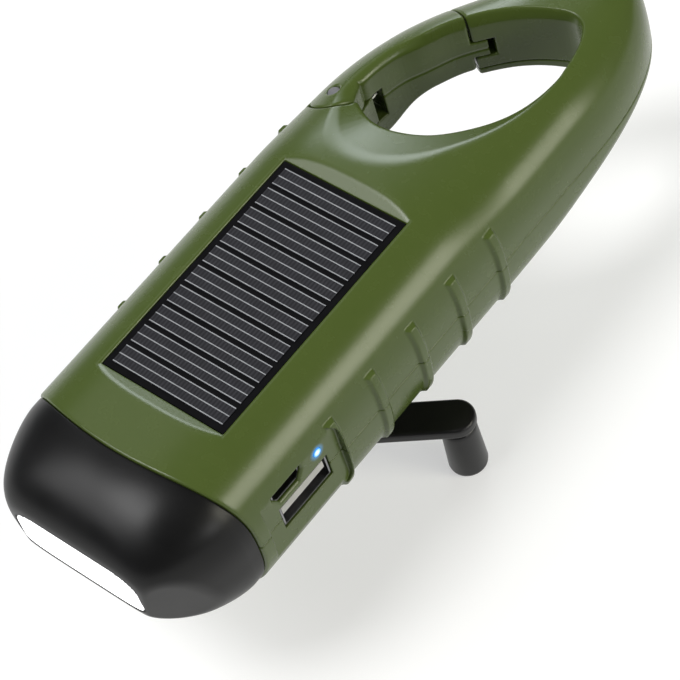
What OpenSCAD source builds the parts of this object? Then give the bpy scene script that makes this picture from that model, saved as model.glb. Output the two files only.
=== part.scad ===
// Hand crank flashlight with solar panel and carabiner ring, in millimetres.
// Origin: centre of the ring's eye on the parting plane.
// +X: port side, +Y: ring tip, -Y: beam, +Z: solar panel side.

/* [Housing] */
// Width of the housing across its sides
body_w = 52; // [50:0.5:58]
// Height of the housing from the back to the crown
body_h = 36.4; // [36:0.2:42]
// Distance from the ring's eye to the head seam
body_l = 102; // [101:0.5:112]
// Squareness of the cross-section, 2 gives an ellipse
section_power = 2.9; // [2.7:0.1:3.6]
// Thickness of the housing walls
wall = 2; // [1.6:0.1:2.4]
// Grip ribs on each side
rib_count = 5; // [3:1:5]
// Distance between grip ribs
rib_pitch = 11.9; // [9:0.1:12.5]
// Width of a grip rib at its foot
rib_w = 3; // [2:0.1:4]
// Height of a grip rib above the side
rib_h = 0.8; // [0.5:0.1:1.2]

/* [Ring] */
// Distance from the eye to the ring's tip
ring_reach = 37; // [35:0.5:44]
// Sideways place of the ring's tip
ring_tip_x = 6; // [3:0.5:8]
// Drop of the top from the crown to the ring
ring_drop = 2; // [1:0.1:3]
// Depth of the ring's thick limb below the parting plane at the tip
ring_depth = 5; // [4:0.5:8]
// Depth of the ring's thin side below the parting plane
ring_thin_depth = 1.8; // [1.6:0.1:3]
// Width of the dished thumb band in front of the eye
band_w = 8; // [6:0.5:10]
// Height of the eye's front rim above the parting plane
band_rim_z = 13; // [11.5:0.1:13.5]

/* [Gate] */
// Radius of the gate's hinge end
gate_tail_r = 5.1; // [4.8:0.1:5.4]
// Distance from the hinge to the latch
gate_l = 28.4; // [27:0.2:29.4]
// Depth of the gate's hinge end below the parting plane
gate_depth = 4.6; // [4:0.1:5.6]
// Diameter of the gate's hinge pin
gate_pin_d = 2.5; // [2:0.1:3]
// Gap between the gate and the housing
gate_gap = 0.3; // [0.25:0.05:0.5]
// Height of the hinge lug inside the gate's fork
lug_h = 7; // [6.4:0.1:7.4]
// Wire diameter of the gate spring
spring_wire_d = 0.7; // [0.5:0.05:0.8]

/* [Head] */
// Length of the head in front of the seam
head_l = 17.5; // [16:0.5:20]
// Width of the flat front face
face_w = 30.4; // [28:0.2:32]
// Height of the front face above the parting plane
face_up = 7.4; // [6.5:0.1:8.5]
// Depth of the front face below the parting plane
face_down = 4.6; // [4:0.1:6]
// Width of the black rim round the lens
rim_w = 0.5; // [0.4:0.1:1]
// Set-back of the head's skin at the seam
seam_step = 0.35; // [0.2:0.05:0.6]
// Radius of the bowed seam in plan
seam_r = 75; // [70:1:110]
// Number of light-emitting diodes
led_count = 3; // [2:1:3]

/* [Solar panel] */
// Width of the panel
panel_w = 29; // [26:0.2:30]
// Length of the panel
panel_l = 52.6; // [48:0.2:54]
// Thickness of the panel board
panel_t = 2; // [1.6:0.1:2.2]
// Distance from the eye to the panel's centre
panel_to_eye = 64; // [63:0.5:66]
// Depth of the panel below the crown
panel_sink = 1.6; // [1.4:0.1:2]
// Number of cells
cell_count = 10; // [6:1:12]

/* [Ports] */
// Width of the USB-A shell
usb_w = 13.1; // [13:0.1:13.4]
// Height of the USB-A shell
usb_h = 5.7; // [5.6:0.1:5.8]
// Length of the USB-A shell
usb_l = 14; // [12:0.5:14]
// Distance from the head seam to the USB-A socket's middle
usb_to_seam = 16.5; // [16:0.1:18]
// Width of the micro-USB shell
micro_w = 7.6; // [7.4:0.1:8]
// Height of the micro-USB shell
micro_h = 2.7; // [2.5:0.1:2.9]
// Diameter of the indicator light
light_d = 1.8; // [1.4:0.1:2.4]

/* [Crank] */
// Distance from the eye to the crank's axis
crank_to_eye = 69.8; // [69:0.2:71]
// Distance from the crank's axis to the knob's axis
crank_l = 33.8; // [32:0.2:36]
// Width of the arm
arm_w = 7.8; // [7:0.2:10]
// Thickness of the arm
arm_t = 2.6; // [2.2:0.1:2.8]
// Gap between the back and the unfolded arm
arm_gap = 2; // [1.6:0.1:2.6]
// Resting angle of the unfolded arm from +X
crank_angle = 35.5; // [30:0.5:60]
// Diameter of the hub on the back
hub_d = 23; // [22:0.5:24]
// Diameter of the hub's shaft
shaft_d = 8; // [7:0.1:8]
// Diameter of the arm's hinge pin
hinge_pin_d = 2.4; // [2:0.1:2.6]
// Diameter of the knob at its free end
knob_d = 7.8; // [7.2:0.1:9]
// Length of the knob
knob_l = 13.2; // [11:0.1:13.4]
// Diameter of the knob's axle
axle_d = 3.4; // [3:0.1:4]

/* [Gears] */
// Module of the teeth
gear_module = 0.6; // [0.56:0.01:0.6]
// Teeth of the crank gear
crank_teeth = 42; // [40:1:42]
// Teeth of the large idler wheels
wheel_teeth = 36; // [34:1:36]
// Teeth of the pinions
pinion_teeth = 12; // [12:1:13]
// Face width of the gears
gear_w = 2.2; // [1.8:0.1:2.2]
// Play between meshing teeth
backlash = 0.14; // [0.1:0.01:0.2]
// Diameter of the fixed gear pins
gear_pin_d = 2; // [1.6:0.1:2.2]

/* [Generator and power] */
// Diameter of the generator
generator_d = 20; // [18:0.2:20.4]
// Height of the generator
generator_h = 11; // [9:0.2:11.4]
// Width of the battery
battery_w = 30; // [26:0.5:31]
// Length of the battery
battery_l = 30; // [26:0.5:30]
// Thickness of the battery
battery_t = 8; // [6:0.2:8.4]
// Width of the power button
button_w = 11; // [9:0.2:12]
// Height of the power button
button_h = 5; // [4.4:0.2:5.4]
// Travel of the power button
button_travel = 0.8; // [0.5:0.1:1]

/* [Hidden] */
$fn = 48;

// Clearances
fit = 0.02;
run = 0.05;
slip = 0.2;
join = 0.1;
overcut = 1;
sliver = 0.01;
far = 100;

// Housing sections
half_w = body_w / 2;
half_h = body_h / 2;
seam_y = -body_l;
seam_bow = 1.7;
seam_nose_y = seam_y - seam_bow;
seam_ends_l = 25;
section_points = 40;
rib_from = -28;
rib_to = 22;
rib_root = 3.5;
rib_sink = 0.02;
rib_end_drop = 0.2;
rib_shift = 12;
ring_blend_y = -38;
drop_l = 20;
rise_y = -14;
rise_l = 40;
tip_round = 8;
left_turn_y = -24;
thin_rise_y = -26;
thin_rise_l = 30;
tip_drop = 1.8;
tip_drop_l = 24;
skin_stations = [ring_blend_y, -34, -30, -26, -22, -18, -14, -10, -6, -2, 2, 6, 10, 14, 18, 22, 25,
    28, 30, 32, 33.5, 34.8, 35.8, 36.6];
station_reach = 37;

// Ring eye, a closed smooth curve through these plan points
eye_knots = [[-13.9, -17.6], [-8.5, -19.9], [-2.8, -19.6], [4.1, -16.6], [10.7, -10.4], [14.6, -4],
    [16.5, 3.5], [16.4, 8.5], [15.2, 13.8], [13, 17.4], [9.7, 18.1], [4.6, 16.2], [-0.3, 13.2],
    [-4.6, 9.3], [-8.4, 4.7], [-11.4, -0.9], [-13.9, -5.6], [-15.3, -11.5], [-15.2, -15]];
eye_steps = 3;
band_dir = -93;
band_trail = 0.78;
band_edge_w = 1.5;
band_rise = 4;

// Gate hinge
gate_pin_at = [-19.4, -18];
gate_open_from = 46;
gate_zone_from = 30;
gate_zone_to = 226;
gate_low_y = -11.5;
gate_rise = 4.4;
gate_rise_l = 11.5;
fork_r = 8.8;
fork_gap = 0.3;
lug_z = 0.4;
lug_r = 6.6;
lug_base_l = 8;
lug_base = [[-2.9, 0], [-2.9, -lug_base_l], [7, -lug_base_l], [4.8, 0]];
pin_top_z = 12.5;
nub_z = 5.5;
nub_h = 4;
nub_reach = 3;
nub_root = 1;
notch_room = 1.4;
nub_from = 56;
nub_to = 66;
spring_turns = 3;
spring_pitch = 1.2;
spring_r = 2.6;
spring_gap = 0.8;
spring_seat = 0.5;
spring_leg_l = 1.6;
spring_bend_y = 1.8;
spring_leg_gap = 1.2;
pin_sink = 0.3;

// Panel seat
panel_y = -panel_to_eye;
panel_z = half_h - panel_sink;
cell_t = 0.2;
panel_floor = 1.6;
ceiling_z = panel_z - cell_t - panel_t - panel_floor;
bevel_end = 3;
bevel_side = 1.4;
bevel_h = 1.8;
panel_border = 1.3;
cell_gap = 1;

// Crank levels
crank_y = -crank_to_eye;
back_z = -half_h;
well_depth = 4.6;
well_floor_z = back_z + well_depth;
well_floor_t = 1.8;
hub_r = hub_d / 2;
well_gap = 0.5;
hub_top_z = well_floor_z - slip;
hub_face_z = back_z + 0.3;
hinge_z = back_z - arm_gap / 2;
hinge_off = arm_gap / 2;
barrel_r = 2.1;
barrel_l = 6;
ear_t = 2;
ear_r = 2.3;
ear_gap = 0.15;
arm_top_z = hinge_z - hinge_off;
arm_low_z = arm_top_z - arm_t;
arm_root = 2.8;
sweep_r = hinge_off + arm_t + 0.4;
slot_floor_z = back_z + arm_t + 0.3;
recess_floor_z = back_z + arm_t + 0.5;
recess_wall = 1.7;
arm_room = 0.6;
arm_start = 0.5;
ear_root = 1;
slot_gap = 0.4;
slot_end = 0.3;
pocket_r = knob_d / 2 + 0.8;
pocket_top_z = back_z + arm_t + knob_l + 0.6;
stow_y = crank_y + crank_l;
knob_gap = 0.3;
axle_head_t = 0.9;
axle_head_w = 0.9;
axle_head_gap = 0.3;
axle_tip = 1.2;
axle_cap = 0.8;
knob_edge = 0.6;
knob_rim = 0.5;
hub_screw_r = 1.2;
hub_screw_head_r = 2.5;
hub_screw_head_t = 1.7;
hub_screw_tip = 1;
hub_bore_floor = 0.6;
washer_r = 4;
washer_bore_r = 1.3;

// Gear train: crank gear, two idlers and the generator's pinion
layer_gap = 0.4;
bush_flange_t = 0.4;
bush_flange_w = 3;
bush_wall = 1.5;
idler_boss_r = 2.4;
idler_neck = 1;
gear_pin_root = 5;
rotor_shaft_r = 1;
rotor_shaft_in = 3.5;
generator_step = 4;
generator_step_h = 0.6;
generator_bore_l = 4;
generator_gap = 0.7;
bearing_r = 3;
bearing_t = 1;
layer_1_z = well_floor_z + well_floor_t + bush_flange_t + slip;
layer_2_z = layer_1_z + gear_w + layer_gap;
layer_3_z = layer_2_z + gear_w + layer_gap;
plate_z = layer_3_z + gear_w + 0.6;
plate_t = 1.6;
plate_bore_r = 4;
plate_hole_r = 1.1;
plate_gap = 0.5;
plate_usb_gap = 2;
plate_screw_l = 5;
plate_screw_head_r = 1.9;
plate_screw_head_t = 1.3;
plate_pilot_l = 6;
boss_gap = 0.5;
post_gap = 1.4;
pressure_angle = 25;
addendum = 0.9;
dedendum = 1.2;
flank_steps = 3;
gear_r = function(teeth) gear_module * teeth / 2;
first_distance = gear_r(crank_teeth) + gear_r(pinion_teeth);
wheel_distance = gear_r(wheel_teeth) + gear_r(pinion_teeth);
idler_1_dir = 250;
idler_2_dir = 0;
rotor_dir = 120;
crank_at = [0, crank_y];
idler_1_at = crank_at + first_distance * [cos(idler_1_dir), sin(idler_1_dir)];
idler_2_at = idler_1_at + wheel_distance * [cos(idler_2_dir), sin(idler_2_dir)];
rotor_at = idler_2_at + wheel_distance * [cos(rotor_dir), sin(rotor_dir)];
post_r = 2.2;
post_at = [[-18, crank_y - 3.2], [16.5, crank_y + 10.3], [-16.5, crank_y + 10.3]];
plate_left = -20.5;
plate_right = 19;
plate_rear_y = crank_y + 13;
plate_front_y = idler_1_at.y - 5;

// Board and ports
usb_y = seam_y + usb_to_seam;
usb_z = -0.2;
micro_y = usb_y - 3.3;
light_y = usb_y + 5;
port_flat_sink = 0.75;
port_x = half_w - port_flat_sink;
port_sink = 0.4;
port_cut_in = 3;
usb_back_t = 1;
usb_back_x = port_x - port_sink - usb_l;
port_zone_l = 21;
port_zone_h = 18.5;
port_zone_shift = 0.2;
shell_t = 0.35;
tongue_sink = 0.4;
tongue_low = -0.3;
tongue_t = 1.9;
board_z = usb_z + usb_h / 2;
board_t = 1.6;
board_top_z = board_z + board_t;
board_front_y = seam_y + 5.4;
board_rear_y = usb_y + 8;
board_left = -20.5;
board_right = half_w - wall - 1.5;
micro_z = board_top_z + 0.2 + micro_h / 2;
micro_l = 5.5;
micro_sink = 0.7;
micro_back_t = 0.5;
micro_back_x = port_x - micro_sink - micro_l;
micro_chamfer = 0.8;
micro_tongue_inset = 1.3;
micro_tongue_sink = 1.2;
micro_tongue_t = 0.6;
light_z = micro_z + 0.2;
light_root = 2;
light_proud = 0.1;
light_foot_t = 2;
light_foot_w = 3.2;
light_foot_over = 1;
board_post_x = 14;
board_post_y = seam_y + 7.8;
board_post_r = 2;
board_hole_r = 1;
board_pilot_l = 5;
board_screw_l = 4;
board_screw_head_r = 1.7;
board_screw_head_t = 1.2;
small_screw_r = 0.85;
pilot_r = 0.9;
button_y = micro_y;
button_z = 1;
switch_x = board_left + 0.5;
switch_w = 6;
switch_h = 3.4;
plunger_l = 0.9;
plunger_d = 2;
button_stem_d = 2.4;
button_stem_x = switch_x - plunger_l - 0.1 - button_travel;
button_flange_x = -half_w + wall + 0.7;
button_proud = 0.5;

// Cavity and screws
cavity_rear_y = -28;
front_room = 7.5;
collar_l = 4.6;
collar_root = 3;
collar_gap = 0.15;
seam_room = 4;
screw_at = [[-20.5, crank_y + 3.8], [20.5, crank_y + 3.8], [-19.5, -34], [19.5, -34], [19.5, -10]];
screw_r = 1.15;
screw_head_r = 2.6;
screw_head_t = 1.6;
screw_boss_r = 3.6;
screw_seat_z = -9;
screw_grip = 9;
screw_tip_gap = 1;
screw_gap = 0.1;

// Head interior
lens_t = 1.6;
lens_flange_t = 1.2;
lens_flange_w = 0.9;
lens_sink = 0.1;
face_y = seam_y - head_l;
face_power = 5;
cheek_angle = -43;
cheek_tilt = -8;
cheek_out = 0.4;
reflector_l = 9.5;
led_pitch = (face_w - 2 * rim_w) / led_count;
led_board_t = 1.6;
led_board_inset = 1.2;
led_board_h = face_up + face_down - 2;
led_r = 1.8;
led_flange_w = 0.5;
led_flange_t = 0.8;
led_body_l = 2.2;
cup_wall = 0.3;
cup_throat = 0.8;
lens_gap = 0.1;
head_room_l = 8;
head_room_side = 5.5;
head_room_up = 4.8;

// Colours
olive = [0.34, 0.4, 0.19];
satin_black = [0.1, 0.1, 0.11];
steel = [0.75, 0.76, 0.78];
brass = [0.8, 0.66, 0.35];
nylon = [0.9, 0.89, 0.84];
board_green = [0.08, 0.3, 0.16];

function ease(t) = let (c = min(1, max(0, t))) c * c * (3 - 2 * c);
function signed_power(v, p) = sign(v) * pow(abs(v), p);

// One point of a housing section: rounder as power falls to 2, with its own depth at each side
function section_point(a, left, right, up, down, power, left_down) =
    let (x = signed_power(cos(a), 2 / power), z = signed_power(sin(a), 2 / power),
        depth = left_down + (down - left_down) * pow((1 + x) / 2, 3))
    [(left + right) / 2 + (right - left) / 2 * x, (z >= 0 ? up : depth) * z];

function section(left, right, up, down, power, left_down) = [for (i = [0 : section_points - 1])
    section_point(360 * i / section_points, left, right, up, down, power,
        is_undef(left_down) ? down : left_down)];

// Outline of the housing and ring in plan, and its height, at one place along Y
function right_x(y) = y <= 0 ? half_w
    : ring_tip_x + (half_w - ring_tip_x) * sqrt(1 - pow(y / ring_reach, 2.5));
function left_x(y) = y <= left_turn_y ? -half_w
    : ring_tip_x - (half_w + ring_tip_x)
        * pow(1 - pow((y - left_turn_y) / (ring_reach - left_turn_y), 2.3), 1.2);
function tip_cap(y) = let (u = max(0, (y - ring_reach + tip_round) / tip_round))
    pow(1 - pow(u, 2.5), 0.4);
function top_z(y) =
    (half_h - ring_drop * ease((y - ring_blend_y) / drop_l) - tip_drop * ease(y / tip_drop_l)) * tip_cap(y);
function low_z(y) = (half_h - (half_h - ring_depth) * ease((y - rise_y) / rise_l)) * tip_cap(y);
function thin_z(y) =
    (half_h - (half_h - ring_thin_depth) * ease((y - thin_rise_y) / thin_rise_l)) * tip_cap(y);

function lift(ring, y) = [for (p = ring) [p.x, y, p.y]];

// Closed smooth curve through plan points
function curve_point(knots, i, t) =
    let (n = len(knots), a = knots[(i + n - 1) % n], b = knots[i],
        c = knots[(i + 1) % n], d = knots[(i + 2) % n])
    0.5 * (2 * b + t * (c - a) + t * t * (2 * a - 5 * b + 4 * c - d)
        + t * t * t * (3 * b - a - 3 * c + d));
function closed_curve(knots, steps) =
    [for (i = [0 : len(knots) - 1], s = [0 : steps - 1]) curve_point(knots, i, s / steps)];

eye_curve = closed_curve(eye_knots, eye_steps);

// Share of the thumb band's width in a direction from the eye, trailing off more slowly on the right
function band_share(dir) =
    let (a = atan2(dir.y, dir.x) - band_dir, turn = a > 180 ? a - 360 : a)
    max(0, cos(turn > 0 ? turn * band_trail : turn));

// Solid through a list of closed rings with equal point counts
module loft(rings) {
    n = len(rings[0]);
    m = len(rings);
    sides = [for (j = [0 : m - 2], i = [0 : n - 1]) let (k = (i + 1) % n)
        each [[j * n + i, j * n + k, (j + 1) * n + k], [j * n + i, (j + 1) * n + k, (j + 1) * n + i]]];
    polyhedron(points = [for (r = rings) each r],
        faces = concat([[for (i = [n - 1 : -1 : 0]) i]], sides,
            [[for (i = [0 : n - 1]) (m - 1) * n + i]]));
}

module slab(z0, z1) {
    translate([-far, -2 * far, z0]) cube([2 * far, 4 * far, z1 - z0]);
}

module y_extrude(y0, y1) {
    translate([0, y1, 0]) rotate([90, 0, 0]) linear_extrude(y1 - y0) children();
}

module x_extrude(x0, x1) {
    translate([x0, 0, 0]) rotate([90, 0, 90]) linear_extrude(x1 - x0) children();
}

module at(p, z = 0) {
    translate([p.x, p.y, z]) children();
}

// Housing skin from the head seam to the ring's tip
module skin() {
    stretch = ring_reach / station_reach;
    ys = concat([seam_nose_y - overcut], [for (y = skin_stations) y > 0 ? y * stretch : y]);
    loft([for (y = ys)
        lift(section(left_x(y), right_x(y), top_z(y), low_z(y), section_power, thin_z(y)), y)]);
}

// Grip rib on one side, with blunt ends
module rib(side, y) {
    arc = [for (i = [0 : 10]) rib_from + (rib_to - rib_from) * i / 10];
    heights = [[-0.5, 0], [-0.24, 1], [0.24, 1], [0.5, 0]];
    function rise(a) = 1 - rib_end_drop * pow(abs(2 * a - rib_from - rib_to) / (rib_to - rib_from), 12);
    function ring(h) = concat(
        [for (a = arc) let (s = (h - rib_sink) * rise(a))
            section_point(a, -half_w - s, half_w + s, half_h + s, half_h + s, section_power, half_h + s)],
        [[half_w - rib_root, half_h * 0.5], [half_w - rib_root, -half_h * 0.6]]);
    mirror([side < 0 ? 1 : 0, 0, 0])
        loft([for (h = heights) lift(ring(h[1] * rib_h), y + h[0] * rib_w)]);
}

module ribs() {
    first_y = panel_y + rib_shift - rib_pitch * (rib_count - 1) / 2;
    for (i = [0 : rib_count - 1], side = [-1, 1]) rib(side, first_y + i * rib_pitch);
}

// Everything behind the bowed seam
module behind_seam(gap) {
    translate([0, seam_nose_y + seam_r, -far]) cylinder(r = seam_r - gap, h = 2 * far);
    translate([-far, seam_y + seam_ends_l, -far]) cube([2 * far, 2 * far, 2 * far]);
}

module eye_cut() {
    translate([0, 0, -far]) linear_extrude(2 * far) polygon(eye_curve);
}

// Dished band that falls from the crown to the eye's front rim
module thumb_band() {
    reach = 1.6;
    low = [for (p = eye_curve) [p.x, p.y, band_rim_z]];
    high = [for (i = [0 : len(eye_curve) - 1])
        let (p = eye_curve[i], n = p / norm(p),
            q = p + n * reach * (band_edge_w + band_w * band_share(n)))
        [q.x, q.y, band_rim_z + reach * band_rise]];
    loft([high, low]);
}

module wedge(from, to, r) {
    steps = 8;
    arc = [for (i = [0 : steps]) let (a = from + (to - from) * i / steps) r * [cos(a), sin(a)]];
    at(gate_pin_at, -far) linear_extrude(2 * far) polygon(concat([[0, 0]], arc));
}

// Space of the gate in plan: hinge circle and the arm out to the latch
module gate_zone(from, gap) {
    at(gate_pin_at, -far) cylinder(r = gate_tail_r + gap, h = 2 * far);
    intersection() {
        at(gate_pin_at, -far) cylinder(r = gate_l + gap, h = 2 * far);
        wedge(from, gate_zone_to + 10 * gap, 2 * gate_l);
    }
}

// Space above the gate's underside, which rises away from the hinge
module above_gate_floor() {
    steps = 8;
    rise = [for (i = [0 : steps])
        [gate_low_y + gate_rise_l * i / steps, -gate_depth + gate_rise * ease(i / steps)]];
    x_extrude(-far, far)
        polygon(concat([[-far, -gate_depth]], rise,
            [[far, gate_rise - gate_depth], [far, far], [-far, far]]));
}

// Latch nub on the gate's end, seated in a deeper notch of the fixed ring
module latch_nub(reach, gap) {
    intersection() {
        difference() {
            at(gate_pin_at, nub_z - nub_h / 2 - gap) cylinder(r = gate_l + reach, h = nub_h + 2 * gap);
            at(gate_pin_at, -far) cylinder(r = gate_l - nub_root + gap * 2, h = 2 * far);
        }
        wedge(nub_from - gap * 4, nub_to + gap * 3, 2 * gate_l);
    }
}

module hinge_lug() {
    coil_r = spring_r + spring_gap;
    difference() {
        union() {
            at(gate_pin_at, lug_z) cylinder(r = lug_r, h = lug_h);
            at(gate_pin_at, lug_z) linear_extrude(lug_h) polygon(lug_base);
        }
        at(gate_pin_at, lug_z - overcut) cylinder(d = gate_pin_d + 2 * fit, h = lug_h + 2 * overcut);
        at(gate_pin_at, spring_z0() - spring_seat) {
            cylinder(r = coil_r, h = spring_room());
            translate([-coil_r, 0, 0]) cube([2 * coil_r, far, spring_room()]);
        }
        eye_cut();
    }
}

function spring_room() = spring_turns * spring_pitch + spring_wire_d + 0.6;
function spring_z0() = lug_z + (lug_h - spring_room()) / 2 + spring_seat;

module panel_recess() {
    seat = 0.15;
    x = panel_w / 2 + seat;
    y = panel_l / 2 + seat;
    translate([-x, panel_y - y, ceiling_z + panel_floor]) cube([2 * x, 2 * y, far]);
    rim = [[x, y], [-x, y], [-x, -y], [x, -y]];
    wide = [for (p = rim) p + [sign(p.x) * bevel_side, sign(p.y) * bevel_end]];
    loft([[for (p = wide) [p.x, p.y + panel_y, panel_z + bevel_h]],
        [for (p = rim) [p.x, p.y + panel_y, panel_z - join]]]);
}

module inner_section(grow) {
    polygon(section(-half_w + wall - grow, half_w - wall + grow, half_h - wall + grow,
        half_h - wall + grow, section_power));
}

module cavity() {
    intersection() {
        y_extrude(seam_y - seam_room, cavity_rear_y) inner_section(0);
        union() {
            slab(-far, ceiling_z);
            translate([-far, seam_y - seam_room, -far])
                cube([2 * far, front_room + seam_room, 2 * far]);
        }
    }
}

module screw_columns(r, z0, z1) {
    for (p = screw_at) at(p, z0) cylinder(r = r, h = z1 - z0);
}

// Openings and flat for the ports on the right side
module port_cuts() {
    zone_y = usb_y - port_zone_shift;
    inner_x = half_w - wall - port_cut_in;
    translate([port_x, zone_y - port_zone_l / 2, -port_zone_h / 2]) cube([far, port_zone_l, port_zone_h]);
    translate([inner_x, usb_y - usb_w / 2 - slip, usb_z - usb_h / 2 - slip])
        cube([far, usb_w + 2 * slip, usb_h + 2 * slip]);
    translate([0, micro_y, micro_z]) x_extrude(inner_x, far) micro_outline(slip);
    translate([inner_x, light_y, light_z]) rotate([0, 90, 0]) cylinder(d = light_d + 2 * run, h = far);
}

module micro_outline(grow) {
    w = micro_w / 2 + grow;
    h = micro_h / 2 + grow;
    polygon([[w, h], [-w, h], [-w, -h * 0.2], [-w + micro_chamfer, -h],
        [w - micro_chamfer, -h], [w, -h * 0.2]]);
}

module stadium(w, h) {
    square([w - h, h], center = true);
    for (s = [-1, 1]) translate([s * (w - h) / 2, 0]) circle(d = h);
}

module button_cut() {
    translate([0, button_y, button_z]) x_extrude(-far, -half_w + wall + port_cut_in)
        stadium(button_w + 2 * slip, button_h + 2 * slip);
}

module top_shell() {
    color(olive) {
        difference() {
            intersection() {
                union() {
                    skin();
                    ribs();
                }
                behind_seam(0);
                slab(0, far);
            }
            difference() {
                cavity();
                screw_columns(screw_boss_r, 0, far);
                for (s = [-1, 1]) translate([s * board_post_x, board_post_y, board_top_z])
                    cylinder(r = board_post_r, h = far);
            }
            eye_cut();
            thumb_band();
            gate_zone(gate_zone_from, gate_gap);
            latch_nub(nub_reach + notch_room, gate_gap);
            panel_recess();
            port_cuts();
            button_cut();
            screw_columns(screw_r + fit, -overcut, screw_grip);
            for (s = [-1, 1]) translate([s * board_post_x, board_post_y, 0])
                cylinder(r = pilot_r, h = board_top_z + board_pilot_l);
        }
        intersection() {
            skin();
            hinge_lug();
        }
    }
}

// Bosses that stand on the floor of the lower half
module floor_bosses() {
    at(crank_at, back_z) cylinder(r = hub_r + well_gap + wall, h = well_floor_z + well_floor_t - back_z);
    half = arm_w / 2 + arm_room + recess_wall;
    translate([-half, crank_y, back_z]) cube([2 * half, crank_l, recess_floor_z + recess_wall - back_z]);
    at([0, stow_y], back_z) cylinder(r = pocket_r + recess_wall, h = pocket_top_z + recess_wall - back_z);
    for (p = post_at) at(p, back_z) cylinder(r = post_r, h = plate_z - back_z);
    at(idler_1_at, back_z) cylinder(r = idler_boss_r, h = layer_1_z - slip - back_z);
    at(idler_2_at, back_z) cylinder(r = idler_boss_r, h = layer_2_z - slip - back_z);
    screw_columns(screw_boss_r, back_z, 0);
}

// Hub well, arm recess and knob pocket in the back
module crank_cuts() {
    at(crank_at, well_floor_z - far) cylinder(r = hub_r + well_gap, h = far);
    at(crank_at, layer_1_z - far) cylinder(d = shaft_d + 2 * bush_wall, h = far);
    half = arm_w / 2 + arm_room;
    translate([-half, crank_y, recess_floor_z - far]) cube([2 * half, crank_l, far]);
    at([0, stow_y], recess_floor_z - far) cylinder(r = half, h = far);
    at([0, stow_y], pocket_top_z - far) cylinder(r = pocket_r, h = far);
}

module bottom_shell() {
    color(olive) difference() {
        intersection() {
            union() {
                skin();
                ribs();
            }
            behind_seam(0);
            slab(-far, 0);
        }
        difference() {
            cavity();
            floor_bosses();
        }
        eye_cut();
        gate_zone(gate_zone_from, gate_gap);
        port_cuts();
        button_cut();
        crank_cuts();
        screw_columns(screw_r + screw_gap, -far, overcut);
        screw_columns(screw_head_r + slip, -far, screw_seat_z);
        for (p = post_at) at(p, plate_z - plate_pilot_l) cylinder(r = pilot_r, h = plate_pilot_l + overcut);
        for (p = [idler_1_at, idler_2_at])
            at(p, layer_1_z - gear_pin_root) cylinder(d = gear_pin_d + 2 * fit, h = far);
    }
}

// Head section at share t of the way from the seam to the front face
function head_section(t) =
    let (w = face_w / 2 + (half_w - seam_step - face_w / 2) * pow(1 - pow(t, 1.6), 0.6),
        up = face_up + (half_h - seam_step - face_up) * pow(1 - pow(t, 2), 0.6),
        down = face_down + (half_h - seam_step - face_down) * pow(1 - pow(t, 1.5), 0.7),
        power = section_power + (face_power - section_power) * pow(t, 4))
    section(-w, w, up, down, power);

module face_section(inset) {
    half = face_w / 2 - inset;
    polygon(section(-half, half, face_up - inset, face_down - inset, face_power));
}

module head_bezel() {
    shares = [0, 0.12, 0.25, 0.38, 0.5, 0.62, 0.73, 0.82, 0.9, 0.96, 0.99, 1];
    rings = concat(
        [for (i = [len(shares) - 1 : -1 : 0]) lift(head_section(shares[i]), seam_y - shares[i] * head_l)],
        [lift(head_section(0), seam_y + collar_l)]);
    color(satin_black) difference() {
        union() {
            difference() {
                loft(rings);
                behind_seam(0);
            }
            y_extrude(seam_y - collar_root, seam_y + collar_l) inner_section(-collar_gap);
        }
        y_extrude(seam_y - seam_room, seam_y + collar_l + overcut)
            inner_section(-wall - collar_gap);
        y_extrude(seam_y - head_room_l, seam_y)
            polygon(section(-half_w + head_room_side, half_w - head_room_side, half_h - head_room_up,
                half_h - head_room_side, section_power));
        y_extrude(face_y + lens_t, seam_y - head_room_l + overcut)
            face_section(rim_w - lens_flange_w - lens_gap);
        y_extrude(face_y - overcut, face_y + lens_t + overcut) face_section(rim_w);
        for (s = [-1, 1]) mirror([s < 0 ? 1 : 0, 0, 0])
            translate([face_w / 2 + cheek_out, face_y, led_z])
                rotate(cheek_angle) rotate([0, -cheek_tilt, 0]) translate([0, -far, -far])
                    cube([far, 2 * far, 2 * far]);
    }
}

module lens() {
    color([0.95, 0.97, 1]) {
        y_extrude(face_y + lens_sink, face_y + lens_t + join) face_section(rim_w + lens_gap);
        y_extrude(face_y + lens_t, face_y + lens_t + lens_flange_t) face_section(rim_w - lens_flange_w);
    }
}

reflector_y = face_y + lens_t + lens_flange_t;
led_z = (face_up - face_down) / 2;

module along_leds() {
    for (i = [0 : led_count - 1]) translate([(i - (led_count - 1) / 2) * led_pitch, 0, led_z]) children();
}

module reflector() {
    cup_r = led_pitch / 2 - cup_wall;
    color(steel) difference() {
        y_extrude(reflector_y, reflector_y + reflector_l) face_section(rim_w - lens_flange_w + lens_gap);
        along_leds() translate([0, reflector_y - sliver, 0]) rotate([-90, 0, 0])
            cylinder(r1 = cup_r, r2 = led_r + cup_throat, h = reflector_l + 2 * sliver);
    }
}

module led_board() {
    w = face_w - 2 * led_board_inset;
    color(board_green) translate([-w / 2, reflector_y + reflector_l, led_z - led_board_h / 2])
        cube([w, led_board_t, led_board_h]);
}

module leds() {
    color([1, 0.98, 0.85]) along_leds() translate([0, reflector_y + reflector_l, 0]) rotate([90, 0, 0]) {
        cylinder(r = led_r + led_flange_w, h = led_flange_t);
        translate([0, 0, led_flange_t - join]) cylinder(r = led_r, h = led_body_l - led_flange_t + join);
        translate([0, 0, led_body_l]) sphere(r = led_r);
    }
}

module solar_panel() {
    color([0.05, 0.05, 0.07]) translate([-panel_w / 2, panel_y - panel_l / 2, panel_z - cell_t - panel_t])
        cube([panel_w, panel_l, panel_t]);
}

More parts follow.
